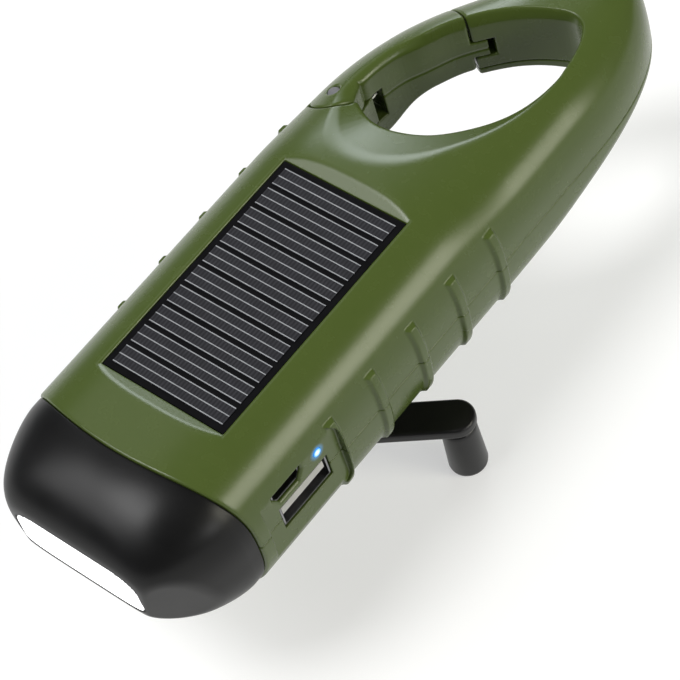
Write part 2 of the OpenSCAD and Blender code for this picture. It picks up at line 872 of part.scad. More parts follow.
module solar_cells() {
    pitch = (panel_l - 2 * panel_border + cell_gap) / cell_count;
    color([0.2, 0.2, 0.24]) for (i = [0 : cell_count - 1])
        translate([-panel_w / 2 + panel_border, panel_y - panel_l / 2 + panel_border + i * pitch,
            panel_z - cell_t]) cube([panel_w - 2 * panel_border, pitch - cell_gap, cell_t]);
}

module main_board() {
    cut_h = board_t + 2 * overcut;
    color(board_green) difference() {
        translate([board_left, board_front_y, board_z])
            cube([board_right - board_left, board_rear_y - board_front_y, board_t]);
        translate([0, 0, board_z - overcut]) {
            at(rotor_at) cylinder(r = generator_d / 2 + generator_gap, h = cut_h);
            for (s = [-1, 1]) at([s * board_post_x, board_post_y]) cylinder(r = board_hole_r, h = cut_h);
            at(screw_at[0]) cylinder(r = screw_boss_r + boss_gap, h = cut_h);
            at(post_at[0]) cylinder(r = post_r + post_gap, h = cut_h);
        }
    }
}

module board_screws() {
    color(steel) for (s = [-1, 1]) translate([s * board_post_x, board_post_y, 0]) {
        translate([0, 0, board_z - board_screw_head_t])
            cylinder(r = board_screw_head_r, h = board_screw_head_t);
        translate([0, 0, board_z - join]) cylinder(r = small_screw_r, h = board_t + board_screw_l);
    }
}

module usb_a_shell() {
    color(steel) translate([usb_back_x, usb_y - usb_w / 2, usb_z - usb_h / 2]) difference() {
        cube([usb_l, usb_w, usb_h]);
        translate([usb_back_t, shell_t, shell_t]) cube([usb_l, usb_w - 2 * shell_t, usb_h - 2 * shell_t]);
    }
}

module usb_a_tongue() {
    gap = 0.35;
    color([0.85, 0.85, 0.83])
        translate([usb_back_x + usb_back_t, usb_y - usb_w / 2 + shell_t + gap, usb_z + tongue_low])
            cube([usb_l - usb_back_t - tongue_sink, usb_w - 2 * shell_t - 2 * gap, tongue_t]);
}

module micro_usb_shell() {
    color(steel) translate([0, micro_y, micro_z]) difference() {
        x_extrude(micro_back_x, micro_back_x + micro_l) micro_outline(0);
        x_extrude(micro_back_x + micro_back_t, port_x) micro_outline(-shell_t);
    }
}

module micro_usb_tongue() {
    w = micro_w - 2 * micro_tongue_inset;
    color([0.12, 0.12, 0.12]) translate([micro_back_x + micro_back_t, micro_y - w / 2, micro_z])
        cube([micro_l - micro_tongue_sink, w, micro_tongue_t]);
}

module indicator_light() {
    root_x = board_right - light_root;
    color([0.3, 0.65, 1]) {
        translate([root_x, light_y, light_z]) rotate([0, 90, 0])
            cylinder(d = light_d, h = port_x + light_proud - root_x);
        translate([root_x - light_foot_t, light_y - light_foot_w / 2, board_top_z])
            cube([light_foot_t, light_foot_w, light_z + light_foot_over - board_top_z]);
    }
}

module tact_switch() {
    color(satin_black) {
        translate([switch_x, button_y - switch_w / 2, board_z - switch_h])
            cube([switch_w, switch_w, switch_h]);
        translate([switch_x - plunger_l, button_y, board_z - switch_h / 2]) rotate([0, 90, 0])
            cylinder(d = plunger_d, h = plunger_l + join);
    }
}

module button_cap() {
    flange = 0.8;
    color(satin_black) translate([0, button_y, button_z]) {
        x_extrude(-half_w - button_proud, button_flange_x + join) stadium(button_w, button_h);
        x_extrude(button_flange_x, button_flange_x + flange)
            stadium(button_w + 2 * flange, button_h + 2 * flange);
        translate([button_flange_x + flange - join, 0, board_z - switch_h / 2 - button_z])
            rotate([0, 90, 0])
                cylinder(d = button_stem_d, h = button_stem_x - button_flange_x - flange + join);
    }
}

pad_t = 0.4;
pad_inset = 2;
battery_lap = 4;
battery_y = plate_rear_y - battery_lap;

module battery() {
    z = ceiling_z - pad_t - battery_t;
    color([0.75, 0.77, 0.8]) translate([-battery_w / 2, battery_y, z])
        cube([battery_w, battery_l, battery_t]);
}

module battery_pad() {
    color([0.9, 0.9, 0.9]) translate([-battery_w / 2 + pad_inset, battery_y + pad_inset, ceiling_z - pad_t])
        cube([battery_w - 2 * pad_inset, battery_l - 2 * pad_inset, pad_t]);
}

module generator() {
    color(steel) at(rotor_at, plate_z + plate_t) difference() {
        union() {
            cylinder(d = generator_d, h = generator_h);
            cylinder(d = generator_d - 2 * generator_step, h = generator_h + generator_step_h);
        }
        translate([0, 0, -overcut]) cylinder(r = rotor_shaft_r + run, h = generator_bore_l + overcut);
        translate([0, 0, -overcut]) cylinder(r = bearing_r, h = bearing_t + overcut);
    }
}

// Involute gear outline
function involute(r, base) = let (a = acos(min(1, base / r))) tan(a) * 180 / PI - a;
function tooth_half(r, pitch_r, teeth) =
    let (base = pitch_r * cos(pressure_angle))
    90 / teeth - backlash / (4 * pitch_r) * 180 / PI + involute(pitch_r, base)
        - involute(max(r, base), base);
function gear_points(teeth) =
    let (pitch_r = gear_module * teeth / 2, base = pitch_r * cos(pressure_angle),
        root = pitch_r - dedendum * gear_module, tip = pitch_r + addendum * gear_module,
        start = max(base, root + 0.05),
        radii = concat([root], [for (i = [0 : flank_steps]) start + (tip - start) * i / flank_steps]),
        rise = [for (r = radii) [r, tooth_half(r, pitch_r, teeth)]])
    [for (i = [0 : teeth - 1]) let (mid = 360 * i / teeth) each concat(
        [for (q = rise) q[0] * [cos(mid - q[1]), sin(mid - q[1])]],
        [for (j = [len(rise) - 1 : -1 : 0]) let (q = rise[j])
            q[0] * [cos(mid + q[1]), sin(mid + q[1])]])];

// Turn of a gear that meshes with one of na teeth, turned by a, lying in direction dir from it
function mesh_turn(na, a, nb, dir) =
    let (phase = na * (dir - a) / 360) dir + 180 - (0.5 - phase) * 360 / nb;

module gear(teeth, turn) {
    rotate(turn) linear_extrude(gear_w) polygon(gear_points(teeth));
}

idler_1_turn = mesh_turn(crank_teeth, crank_angle, pinion_teeth, idler_1_dir);
idler_2_turn = mesh_turn(wheel_teeth, 0, pinion_teeth, idler_2_dir);
rotor_turn = mesh_turn(wheel_teeth, 0, pinion_teeth, rotor_dir);

module idler(low_turn, bore) {
    difference() {
        union() {
            gear(pinion_teeth, low_turn);
            translate([0, 0, gear_w - sliver])
                cylinder(r = gear_r(pinion_teeth) - idler_neck, h = layer_gap + 2 * sliver);
            translate([0, 0, gear_w + layer_gap]) gear(wheel_teeth, 0);
        }
        translate([0, 0, -overcut]) cylinder(d = bore, h = 2 * gear_w + layer_gap + 2 * overcut);
    }
}

module idler_gear_1() {
    color(nylon) at(idler_1_at, layer_1_z) idler(idler_1_turn, gear_pin_d + 2 * run);
}

module idler_gear_2() {
    color(nylon) at(idler_2_at, layer_2_z) idler(idler_2_turn, gear_pin_d + 2 * run);
}

module generator_pinion() {
    color(brass) at(rotor_at, layer_3_z) {
        gear(pinion_teeth, rotor_turn);
        translate([0, 0, gear_w - join])
            cylinder(r = rotor_shaft_r, h = plate_z + plate_t + rotor_shaft_in - layer_3_z - gear_w);
    }
}

module gear_pins() {
    color(steel) for (p = [idler_1_at, idler_2_at])
        at(p, layer_1_z - gear_pin_root)
            cylinder(d = gear_pin_d, h = plate_z + plate_t - layer_1_z + gear_pin_root);
}

module gear_plate() {
    split_y = usb_y + usb_w / 2 + plate_usb_gap;
    inner_right = usb_back_x - plate_gap;
    cut_h = plate_t + 2 * overcut;
    color(steel) difference() {
        union() {
            translate([plate_left, plate_front_y, plate_z])
                cube([inner_right - plate_left, plate_rear_y - plate_front_y, plate_t]);
            translate([0, split_y, plate_z]) cube([plate_right, plate_rear_y - split_y, plate_t]);
        }
        translate([0, 0, plate_z - overcut]) {
            for (p = [idler_1_at, idler_2_at]) at(p) cylinder(d = gear_pin_d + 2 * fit, h = cut_h);
            at(rotor_at) cylinder(r = plate_bore_r, h = cut_h);
            for (p = post_at) at(p) cylinder(r = plate_hole_r, h = cut_h);
            for (i = [0, 1]) at(screw_at[i]) cylinder(r = screw_boss_r + boss_gap, h = cut_h);
        }
    }
}

module plate_screws() {
    color(steel) for (p = post_at) at(p, 0) {
        translate([0, 0, plate_z + plate_t]) cylinder(r = plate_screw_head_r, h = plate_screw_head_t);
        translate([0, 0, plate_z - plate_screw_l])
            cylinder(r = small_screw_r, h = plate_t + plate_screw_l + join);
    }
}

module crank_gear() {
    color(nylon) at(crank_at, layer_1_z) difference() {
        gear(crank_teeth, crank_angle);
        translate([0, 0, -overcut]) cylinder(r = spigot_r + fit, h = gear_w + 2 * overcut);
    }
}

spigot_r = 3;

module crank_bush() {
    color(brass) at(crank_at, 0) difference() {
        union() {
            translate([0, 0, well_floor_z])
                cylinder(d = shaft_d + 2 * bush_wall - 2 * fit, h = well_floor_t + join);
            translate([0, 0, well_floor_z + well_floor_t])
                cylinder(d = shaft_d + 2 * bush_flange_w, h = bush_flange_t);
        }
        translate([0, 0, well_floor_z - overcut])
            cylinder(d = shaft_d + 2 * run, h = well_floor_t + bush_flange_t + 2 * overcut);
    }
}

// Crank pieces are drawn with the arm along +X of the crank's own frame
module crank_frame() {
    translate([0, crank_y, 0]) rotate(crank_angle) children();
}

module hinge_rod(d, l, z = hinge_z) {
    translate([0, l / 2, z]) rotate([90, 0, 0]) cylinder(d = d, h = l);
}

module crank_hub() {
    ear_in = barrel_l / 2 + ear_gap;
    color(satin_black) crank_frame() difference() {
        union() {
            translate([0, 0, hub_face_z]) cylinder(r = hub_r, h = hub_top_z - hub_face_z);
            translate([0, 0, hub_top_z - join]) cylinder(d = shaft_d, h = layer_1_z - hub_top_z + join);
            translate([0, 0, layer_1_z - join]) cylinder(r = spigot_r, h = gear_w + join);
            for (s = [-1, 1]) translate([0, s * (ear_in + ear_t / 2), 0]) {
                hinge_rod(2 * ear_r, ear_t);
                translate([-ear_r, -ear_t / 2, hinge_z])
                    cube([2 * ear_r, ear_t, hub_top_z - ear_root - hinge_z]);
            }
        }
        translate([-hub_r - overcut, -arm_w / 2 - slot_gap, slot_floor_z - far])
            cube([hub_r + overcut - ear_r - slot_end, arm_w + 2 * slot_gap, far]);
        hinge_rod(2 * sweep_r, 2 * ear_in);
        hinge_rod(hinge_pin_d + 2 * fit, 4 * barrel_l);
        translate([0, 0, slot_floor_z + hub_bore_floor]) cylinder(r = hub_screw_r + run, h = far);
    }
}

module hub_washer() {
    color(steel) at(crank_at, layer_1_z + gear_w) difference() {
        cylinder(r = washer_r, h = layer_gap);
        translate([0, 0, -overcut]) cylinder(r = washer_bore_r, h = layer_gap + 2 * overcut);
    }
}

module hub_screw() {
    color(steel) at(crank_at, layer_2_z) {
        cylinder(r = hub_screw_head_r, h = hub_screw_head_t);
        translate([0, 0, slot_floor_z + hub_screw_tip - layer_2_z])
            cylinder(r = hub_screw_r, h = layer_2_z - slot_floor_z - hub_screw_tip + join);
    }
}

module crank_hinge_pin() {
    color(steel) crank_frame() hinge_rod(hinge_pin_d, barrel_l + 2 * ear_gap + 2 * ear_t);
}

module crank_arm() {
    color(satin_black) crank_frame() difference() {
        union() {
            hinge_rod(2 * barrel_r, barrel_l);
            translate([arm_start, -barrel_l / 2, arm_low_z]) cube([arm_root, barrel_l, arm_t]);
            translate([arm_root, -arm_w / 2, arm_low_z]) cube([crank_l - arm_root, arm_w, arm_t]);
            translate([crank_l, 0, arm_low_z]) cylinder(d = arm_w, h = arm_t);
        }
        hinge_rod(hinge_pin_d + 2 * run, 2 * barrel_l);
        translate([crank_l, 0, arm_low_z - overcut])
            cylinder(d = axle_d + 2 * fit, h = arm_t - axle_cap + overcut);
    }
}

knob_top_z = arm_low_z - knob_gap;
knob_low_z = knob_top_z - knob_l;

module knob_axle() {
    tip_z = knob_low_z + axle_tip;
    color(steel) crank_frame() translate([crank_l, 0, 0]) {
        translate([0, 0, tip_z]) cylinder(d = axle_d, h = arm_top_z - axle_cap - join - tip_z);
        translate([0, 0, tip_z - axle_head_t]) cylinder(d = axle_d + 2 * axle_head_w, h = axle_head_t);
    }
}

module crank_knob() {
    neck = 0.35;
    color(satin_black) crank_frame() translate([crank_l, 0, knob_low_z]) difference() {
        rotate_extrude() polygon([[0, 0], [knob_d / 2 - knob_edge, 0], [knob_d / 2, knob_edge],
            [knob_d / 2 - neck, knob_l - knob_rim], [knob_d / 2 - neck - knob_rim, knob_l], [0, knob_l]]);
        translate([0, 0, -overcut]) cylinder(d = axle_d + 2 * run, h = knob_l + 2 * overcut);
        translate([0, 0, -overcut])
            cylinder(d = axle_d + 2 * (axle_head_w + axle_head_gap), h = axle_tip + overcut + run);
    }
}

module gate() {
    color(olive) difference() {
        union() {
            intersection() {
                skin();
                gate_zone(gate_open_from, 0);
                above_gate_floor();
            }
            intersection() {
                skin();
                latch_nub(nub_reach, 0);
            }
        }
        eye_cut();
        thumb_band();
        at(gate_pin_at, lug_z - fork_gap) cylinder(r = fork_r, h = lug_h + 2 * fork_gap);
        at(gate_pin_at, -far) cylinder(d = gate_pin_d + 2 * run, h = 2 * far);
    }
}

module gate_pin() {
    low = -gate_depth + pin_sink;
    color(steel) at(gate_pin_at, low) cylinder(d = gate_pin_d, h = pin_top_z - low);
}

// Torsion spring: one unbroken wire with two straight legs
spring_sides = 6;
spring_rings = 8;
spring_path = concat(
    [[spring_r, -spring_leg_l, spring_z0()]],
    [for (i = [0 : spring_turns * spring_rings]) let (a = 360 * i / spring_rings)
        [spring_r * cos(a), spring_r * sin(a), spring_z0() + spring_pitch * i / spring_rings]],
    [for (y = [spring_bend_y, fork_r - spring_leg_gap])
        [spring_r, y, spring_z0() + spring_turns * spring_pitch]]);
function tube_ring(path, i, r) =
    let (n = len(path), d = path[min(i + 1, n - 1)] - path[max(i - 1, 0)], t = d / norm(d),
        u0 = cross([0, 0, 1], t), u = u0 / norm(u0), v = cross(t, u))
    [for (k = [0 : spring_sides - 1]) let (a = 360 * k / spring_sides)
        path[i] + r * (cos(a) * u + sin(a) * v)];
spring_self_gap = min([for (i = [0 : len(spring_path) - 1], j = [0 : len(spring_path) - 1])
    if (j - i >= spring_rings / 2) norm(spring_path[j] - spring_path[i])]) - spring_wire_d;
echo(least_gap_of_the_spring_to_itself = spring_self_gap);

module gate_spring() {
    rings = [for (i = [len(spring_path) - 1 : -1 : 0]) tube_ring(spring_path, i, spring_wire_d / 2)];
    color(steel) at(gate_pin_at) loft(rings);
}

module case_screws() {
    color(steel) for (p = screw_at) at(p) {
        translate([0, 0, screw_seat_z - screw_head_t]) cylinder(r = screw_head_r, h = screw_head_t);
        translate([0, 0, screw_seat_z - join])
            cylinder(r = screw_r, h = screw_grip - screw_tip_gap - screw_seat_z);
    }
}

top_shell();
bottom_shell();
head_bezel();
lens();
reflector();
led_board();
leds();
solar_panel();
solar_cells();
main_board();
board_screws();
usb_a_shell();
usb_a_tongue();
micro_usb_shell();
micro_usb_tongue();
indicator_light();
tact_switch();
button_cap();
battery();
battery_pad();
generator();
generator_pinion();
gear_plate();
plate_screws();
idler_gear_1();
idler_gear_2();
gear_pins();
crank_gear();
crank_bush();
crank_hub();
hub_washer();
hub_screw();
crank_hinge_pin();
crank_arm();
knob_axle();
crank_knob();
gate();
gate_pin();
gate_spring();
case_screws();
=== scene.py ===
import math
import bpy
import numpy as np
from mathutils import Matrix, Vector


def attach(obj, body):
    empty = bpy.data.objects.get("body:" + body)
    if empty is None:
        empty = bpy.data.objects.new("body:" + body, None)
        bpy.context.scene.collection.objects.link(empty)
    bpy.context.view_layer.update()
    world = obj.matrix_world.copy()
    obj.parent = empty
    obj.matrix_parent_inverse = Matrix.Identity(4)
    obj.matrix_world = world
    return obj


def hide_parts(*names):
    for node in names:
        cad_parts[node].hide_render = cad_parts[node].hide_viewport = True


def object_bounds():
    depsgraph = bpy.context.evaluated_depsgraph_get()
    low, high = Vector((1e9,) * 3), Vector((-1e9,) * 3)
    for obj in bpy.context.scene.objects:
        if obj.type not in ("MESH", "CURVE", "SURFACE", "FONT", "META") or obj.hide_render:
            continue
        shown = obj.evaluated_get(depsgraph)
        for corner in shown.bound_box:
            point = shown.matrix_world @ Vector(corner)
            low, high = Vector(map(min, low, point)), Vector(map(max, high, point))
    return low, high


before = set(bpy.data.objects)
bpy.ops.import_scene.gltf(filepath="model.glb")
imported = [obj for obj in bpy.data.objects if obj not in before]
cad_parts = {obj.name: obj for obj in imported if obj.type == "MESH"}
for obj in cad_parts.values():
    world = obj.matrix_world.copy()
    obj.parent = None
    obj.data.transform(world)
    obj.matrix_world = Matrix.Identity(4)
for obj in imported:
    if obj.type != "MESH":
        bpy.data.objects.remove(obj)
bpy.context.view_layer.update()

MM = 0.001
FAR, TINY = 1e9, 1e-12

# Sizes in millimetres, the same as the CAD's where it has them

# Housing: section, bowed seam, room inside and case screws
HALF_W, HALF_H, WALL, POWER = 26.0, 18.2, 2.0, 2.9
SEAM_Y, SEAM_NOSE_Y, SEAM_R, SEAM_ENDS_L = -102.0, -103.7, 75.0, 25
CEILING_Z, FRONT_ROOM_L, CAVITY_END_Y = 12.8, 7.5, -28
SCREWS = [(-20.5, -66), (20.5, -66), (-19.5, -34), (19.5, -34), (19.5, -10)]
SCREW_BOSS_R, SCREW_HOLE_R, SCREW_TOP_Z = 3.6, 2.8, -9
PARTING_GAP = 0.02

# Ring: its tip, and how the sides, the top and the underside run towards it
RING_REACH, RING_TIP_X, RING_HOLD, TIP_ROUND, TIP_TRIM = 37.0, 6.0, 0.3, 8, 0.4
LEFT_TURN_Y = -24
RING_DROP, RING_BLEND_Y, DROP_L = 2.0, -38, 20
TIP_DROP, TIP_DROP_L = 1.8, 24
RING_DEPTH, RISE_Y, RISE_L = 5, -14, 40
THIN_DEPTH, THIN_RISE_Y, THIN_RISE_L = 1.8, -26, 30
RIGHT_BOW, LEFT_BOW, LEFT_END, CAP_BOW, CAP_END, DEPTH_BOW = 2.5, 2.3, 1.2, 2.5, 0.4, 3

# Eye of the ring, a closed smooth curve, and the dished band round it
EYE_KNOTS = np.array([(-13.9, -17.6), (-8.5, -19.9), (-2.8, -19.6), (4.1, -16.6), (10.7, -10.4),
    (14.6, -4), (16.5, 3.5), (16.4, 8.5), (15.2, 13.8), (13, 17.4), (9.7, 18.1), (4.6, 16.2),
    (-0.3, 13.2), (-4.6, 9.3), (-8.4, 4.7), (-11.4, -0.9), (-13.9, -5.6), (-15.3, -11.5),
    (-15.2, -15)], float)
EYE_STEPS = 6
BAND_DIR, BAND_TRAIL, BAND_EDGE_W, BAND_W = -93, 0.78, 1.5, 8.0
BAND_RIM_Z, BAND_RISE = 13.0, 4.0

# Gate: hinge, fork, underside, latch nub and parting line
PIN, PIN_BORE_R = np.array([-19.4, -18.0]), 1.3
GATE_L, TAIL_R, GATE_GAP = 28.4, 5.1, 0.3
GATE_FROM, GATE_TO, GATE_ZONE_FROM, GATE_ZONE_TO = 46, 226, 30, 229
GATE_DEPTH, GATE_RISE, GATE_LOW_Y, GATE_RISE_L = 4.6, 4.4, -11.5, 11.5
FORK_R, SLOT_Z, SLOT_HALF = 8.8, 3.9, 3.8
LUG_R, LUG_Z, LUG_TOP_Z = 6.6, 0.4, 7.4
LUG_LEFT, LUG_RIGHT, LUG_BASE_L, LUG_TALL = 2.9, 5.5, 8, 50
NUB_ROOT, NUB_REACH, NUB_Z, NUB_HALF, NUB_FROM, NUB_TO = 1, 3.0, 5.5, 2, 56, 66
# The notch is larger than the nub: by its room at the end, elsewhere by these times the gap
NOTCH_ROOM, NOTCH_ROOT, NOTCH_FROM, NOTCH_TO = 1.4, 2, 4, 3
GATE_LINE_DEPTH, GATE_LINE_Z, GATE_LINE_W, GATE_LINE_REACH = 0.16, 5.2, 0.3, 0.8

# Solar panel: seat with a bevelled rim, cells and their finger lines
PANEL_Y, PANEL_W, PANEL_L, PANEL_Z, PANEL_BASE_Z = -64.0, 29.0, 52.6, 16.6, 14.4
PANEL_GAP, PANEL_BORDER = 0.15, 1.3
BEVEL_SINK, BEVEL_H, BEVEL_REACH, BEVEL_SIDE, BEVEL_END = 0.1, 1.8, 3, 1.4, 3
CELL_COUNT, CELL_GAP = 10, 1
FINGER_INSET, FINGER_HALF, FINGER_T = 0.17, 0.1, 0.03

# Grip ribs
RIB_COUNT, RIB_PITCH, RIB_SHIFT, RIB_HALF, RIB_H = 5, 11.9, 12, 1.5, 0.8
RIB_TOP_Z, RIB_LOW_Z, RIB_FROM_X, RIB_EDGE, RIB_END = 9.5, -11.1, 20, 0.85, 0.5
RIB_YS = [PANEL_Y - RIB_PITCH * (RIB_COUNT - 1) / 2 + RIB_SHIFT + RIB_PITCH * i
    for i in range(RIB_COUNT)]

# Ports, the flat round them, the indicator light and the power button
PORT_X, PORT_IN_X, PORT_OUT_X, PORT_SLIP = 25.25, 21, 60, 0.2
USB_Y, USB_Z, USB_W, USB_H = -85.5, -0.2, 13.1, 5.7
MICRO_Y, MICRO_Z, MICRO_W, MICRO_H = -88.8, 5.8, 7.6, 2.7
MICRO_CUT, MICRO_CUT_H, MICRO_LEAN = 0.6, 0.2, 0.7
FLARE_X, FLARE_FROM_X, FLARE_SLOPE = 24.8, 24.6, 0.9
FLAT_SHIFT, FLAT_HALF_L, FLAT_HALF_H, FLAT_CORNER_R = 0.2, 7.5, 6.2, 3
LIGHT_Y, LIGHT_Z, LIGHT_D, LIGHT_GAP, LIGHT_PROUD = -80.5, 6.0, 1.8, 0.05, 0.1
LIGHT_AT = (PORT_X + LIGHT_PROUD, LIGHT_Y, LIGHT_Z)
BUTTON_Y, BUTTON_Z, BUTTON_W, BUTTON_H = -88.8, 1.0, 11.0, 5.0
BUTTON_GAP, BUTTON_IN_X = 0.4, -20

# Head: face, runs from the seam to it, cheeks and the room inside
HEAD_L, SEAM_STEP = 17.5, 0.35
FACE_W, FACE_UP, FACE_DOWN, FACE_POWER, RIM_W = 30.4, 7.4, 4.6, 5.0, 0.5
FACE_Y = SEAM_Y - HEAD_L
LED_Z = (FACE_UP - FACE_DOWN) / 2
HEAD_W_BOW, HEAD_UP_BOW, HEAD_DOWN_BOW, FACE_BLEND = (1.6, 0.6), (2, 0.6), (1.5, 0.7), 4
CHEEK_TURN, CHEEK_TILT, CHEEK_OUT = math.radians(-43), math.radians(8), 0.4
HEAD_ROOM, HEAD_ROOM_L = (20.5, 13.4, 12.7), 8
LENS_LAP, LENS_SINK, MOUTH_L = 1.0, 1.6, 3

# Crank: hub, hinge, arm and knob, and the room for them in the back
CRANK_Y, CRANK_ANGLE, CRANK_L = -69.8, math.radians(35.5), 33.8
CRANK_AT, STOW_AT = (0, CRANK_Y), (0, CRANK_Y + CRANK_L)
KNOB_AT = (CRANK_L * math.cos(CRANK_ANGLE), CRANK_Y + CRANK_L * math.sin(CRANK_ANGLE))
BACK_Z, HUB_R, SHAFT_BORE_R, BORE_TOP_Z = -18.2, 11.5, 5.5, -9
HINGE_Z, HINGE_BORE_R, BARREL_R, BARREL_HALF = -19.2, 1.25, 2.1, 3
ARM_TOP_Z, ARM_W, ARM_T, ARM_ROOT, ARM_START, NECK_END = -20.2, 7.8, 2.6, 2.8, 0.5, 3.3
DIMPLE_AT, DIMPLE_R = (21.5, -1.2), 0.7
KNOB_D, KNOB_L, KNOB_GAP, KNOB_BORE_R, KNOB_SINK_R, KNOB_SINK = 7.8, 13.2, 0.3, 1.75, 2.9, 1.25
KNOB_TOP_EDGE = [(1.1, 0), (0.6, 0.15), (0.4, 0.6), (0.35, 1.2)]
KNOB_LOW_EDGE = [(0, 1.0), (0.1, 0.45), (0.4, 0.1), (0.8, 0)]
CRANK_ROOM = {"hub_gap": 0.5, "well_z": -13.6, "arm_gap": 0.6, "arm_rise": 0.5,
    "knob_gap": 0.8, "knob_rise": 0.6}
CRANK_WALLS = {"hub_gap": 2.5, "well_z": -11.8, "arm_gap": 2.3, "arm_rise": 2.2,
    "knob_gap": 2.5, "knob_rise": 2.3}

# Edge rounding of the moulded pieces
SEAM_ROUND, BAND_ROUND, EYE_ROUND, GATE_ROUND, NOTCH_ROUND = 0.5, 0.7, 1.0, 0.5, 0.4
RECESS_ROUND, WELL_ROUND, SCREW_ROUND, PARTING_ROUND = 0.5, 0.5, 0.4, 0.3
FLAT_ROUND, PORT_ROUND, BUTTON_ROUND = 0.12, 0.2, 0.3
GATE_FLOOR_ROUND, GATE_BAND_ROUND, GATE_EYE_ROUND, SLOT_ROUND, PIN_ROUND = 0.8, 0.9, 0.8, 0.4, 0.5
FACE_ROUND, CHEEK_ROUND = 0.4, 0.5
ARM_ROOT_ROUND, ARM_ROUND, NECK_BLEND, BARREL_BLEND, DIMPLE_ROUND = 0.8, 0.9, 0.5, 0.6, 0.3
SOFT_EDGES = {"crank_hub": 0.3, "button_cap": 0.3, "gate_pin": 0.35, "indicator_light": 0.3}

# Values that keep a field close to a distance, or well inside where a limit doesn't apply
MIN_SLOPE, MICRO_SLOPE, SIDE_SLOPE, END_SLOPE, HEAD_SLOPE = 0.02, 0.8, 0.8, 0.6, 0.8
WELL_BEHIND, NO_CEILING = -40.0, -9.0


# Shape fields: negative inside, about the distance in millimetres near the surface

def smin(a, b, k):
    h = np.maximum(k - np.abs(a - b), 0) / k
    return np.minimum(a, b) - h * h * k / 4


def smax(a, b, k):
    return -smin(-a, -b, k)


def all_of(*fields):
    return np.maximum.reduce(np.broadcast_arrays(*fields))


def any_of(*fields):
    return np.minimum.reduce(np.broadcast_arrays(*fields))


def ease(t):
    t = np.clip(t, 0, 1)
    return t * t * (3 - 2 * t)


def box_field(x, y, z, lo, hi):
    return all_of(lo[0] - x, x - hi[0], lo[1] - y, y - hi[1], lo[2] - z, z - hi[2])


def round_column(x, y, at, r):
    return np.hypot(x - at[0], y - at[1]) - r


def section_field(x, z, half, up, down, power):
    """Superellipse section: half width, height above and depth below the parting plane."""
    h = np.where(z >= 0, up, down)
    u, v = np.abs(x / half), np.abs(z / h)
    value = u ** power + v ** power - 1
    slope = power * np.hypot(u ** (power - 1) / half, v ** (power - 1) / h)
    return value / np.maximum(slope, MIN_SLOPE)


def ring_outline(y):
    """Left and right sides, top, and depths under the thick and the thin side."""
    yc = np.minimum(y, RING_REACH - RING_HOLD)
    out = np.maximum(yc, 0) / RING_REACH
    right = np.where(yc <= 0, HALF_W,
        RING_TIP_X + (HALF_W - RING_TIP_X) * np.sqrt(1 - out ** RIGHT_BOW))
    t = np.clip((yc - LEFT_TURN_Y) / (RING_REACH - LEFT_TURN_Y), 0, 1)
    left = RING_TIP_X - (HALF_W + RING_TIP_X) * (1 - t ** LEFT_BOW) ** LEFT_END
    end = np.clip((yc - RING_REACH + TIP_ROUND) / TIP_ROUND, 0, 1)
    cap = (1 - end ** CAP_BOW) ** CAP_END
    up = (HALF_H - RING_DROP * ease((yc - RING_BLEND_Y) / DROP_L)
        - TIP_DROP * ease(yc / TIP_DROP_L)) * cap
    deep = (HALF_H - (HALF_H - RING_DEPTH) * ease((yc - RISE_Y) / RISE_L)) * cap
    thin = (HALF_H - (HALF_H - THIN_DEPTH) * ease((yc - THIN_RISE_Y) / THIN_RISE_L)) * cap
    return left, right, up, deep, thin


def plain_skin(x, y, z):
    """Housing and ring without the ribs."""
    left, right, up, deep, thin = ring_outline(y)
    half = (right - left) / 2
    u = x - (left + right) / 2
    share = np.clip((1 + u / half) / 2, 0, 1)
    depth = thin + (deep - thin) * share ** DEPTH_BOW
    return np.maximum(section_field(u, z, half, up, depth, POWER), y - RING_REACH + TIP_TRIM)


def rib_height(x, y, z):
    across = np.zeros_like(y)
    for rib_y in RIB_YS:
        across = np.maximum(across, ease((RIB_HALF - np.abs(y - rib_y)) / RIB_EDGE))
    along = ease((RIB_TOP_Z - z) / RIB_END) * ease((z - RIB_LOW_Z) / RIB_END)
    return RIB_H * across * along * (np.abs(x) > RIB_FROM_X)


def behind_seam(x, y):
    bow = np.hypot(x, y - SEAM_NOSE_Y - SEAM_R) - SEAM_R
    return np.where(y < SEAM_Y + SEAM_ENDS_L, bow, WELL_BEHIND)


def closed_curve(knots, steps):
    """Closed Catmull-Rom curve through the knots."""
    n = len(knots)
    out = []
    for i in range(n):
        a, b, c, d = (knots[(i + k) % n] for k in (-1, 0, 1, 2))
        for s in range(steps):
            t = s / steps
            out.append(0.5 * (2 * b + t * (c - a) + t * t * (2 * a - 5 * b + 4 * c - d)
                + t ** 3 * (3 * b - a - 3 * c + d)))
    return np.array(out)


EYE = closed_curve(EYE_KNOTS, EYE_STEPS)
EYE_LOW, EYE_STEP, EYE_N = np.array([-45.0, -60.0]), 0.25, (361, 441)
EYE_LAST = 1.001


def eye_table():
    """Distance to the eye's outline on a plan grid, negative inside the eye."""
    gx = EYE_LOW[0] + EYE_STEP * np.arange(EYE_N[0])
    gy = EYE_LOW[1] + EYE_STEP * np.arange(EYE_N[1])
    px, py = np.meshgrid(gx, gy, indexing="ij")
    best = np.full(px.shape, FAR)
    inside = np.zeros(px.shape, bool)
    for a, b in zip(EYE, np.roll(EYE, -1, axis=0)):
        d = b - a
        t = np.clip(((px - a[0]) * d[0] + (py - a[1]) * d[1]) / (d @ d), 0, 1)
        best = np.minimum(best, np.hypot(px - a[0] - t * d[0], py - a[1] - t * d[1]))
        crosses = (a[1] > py) != (b[1] > py)
        if abs(d[1]) > TINY:
            inside ^= crosses & (px < a[0] + (py - a[1]) * d[0] / d[1])
    return np.where(inside, -best, best)


EYE_TABLE = eye_table()


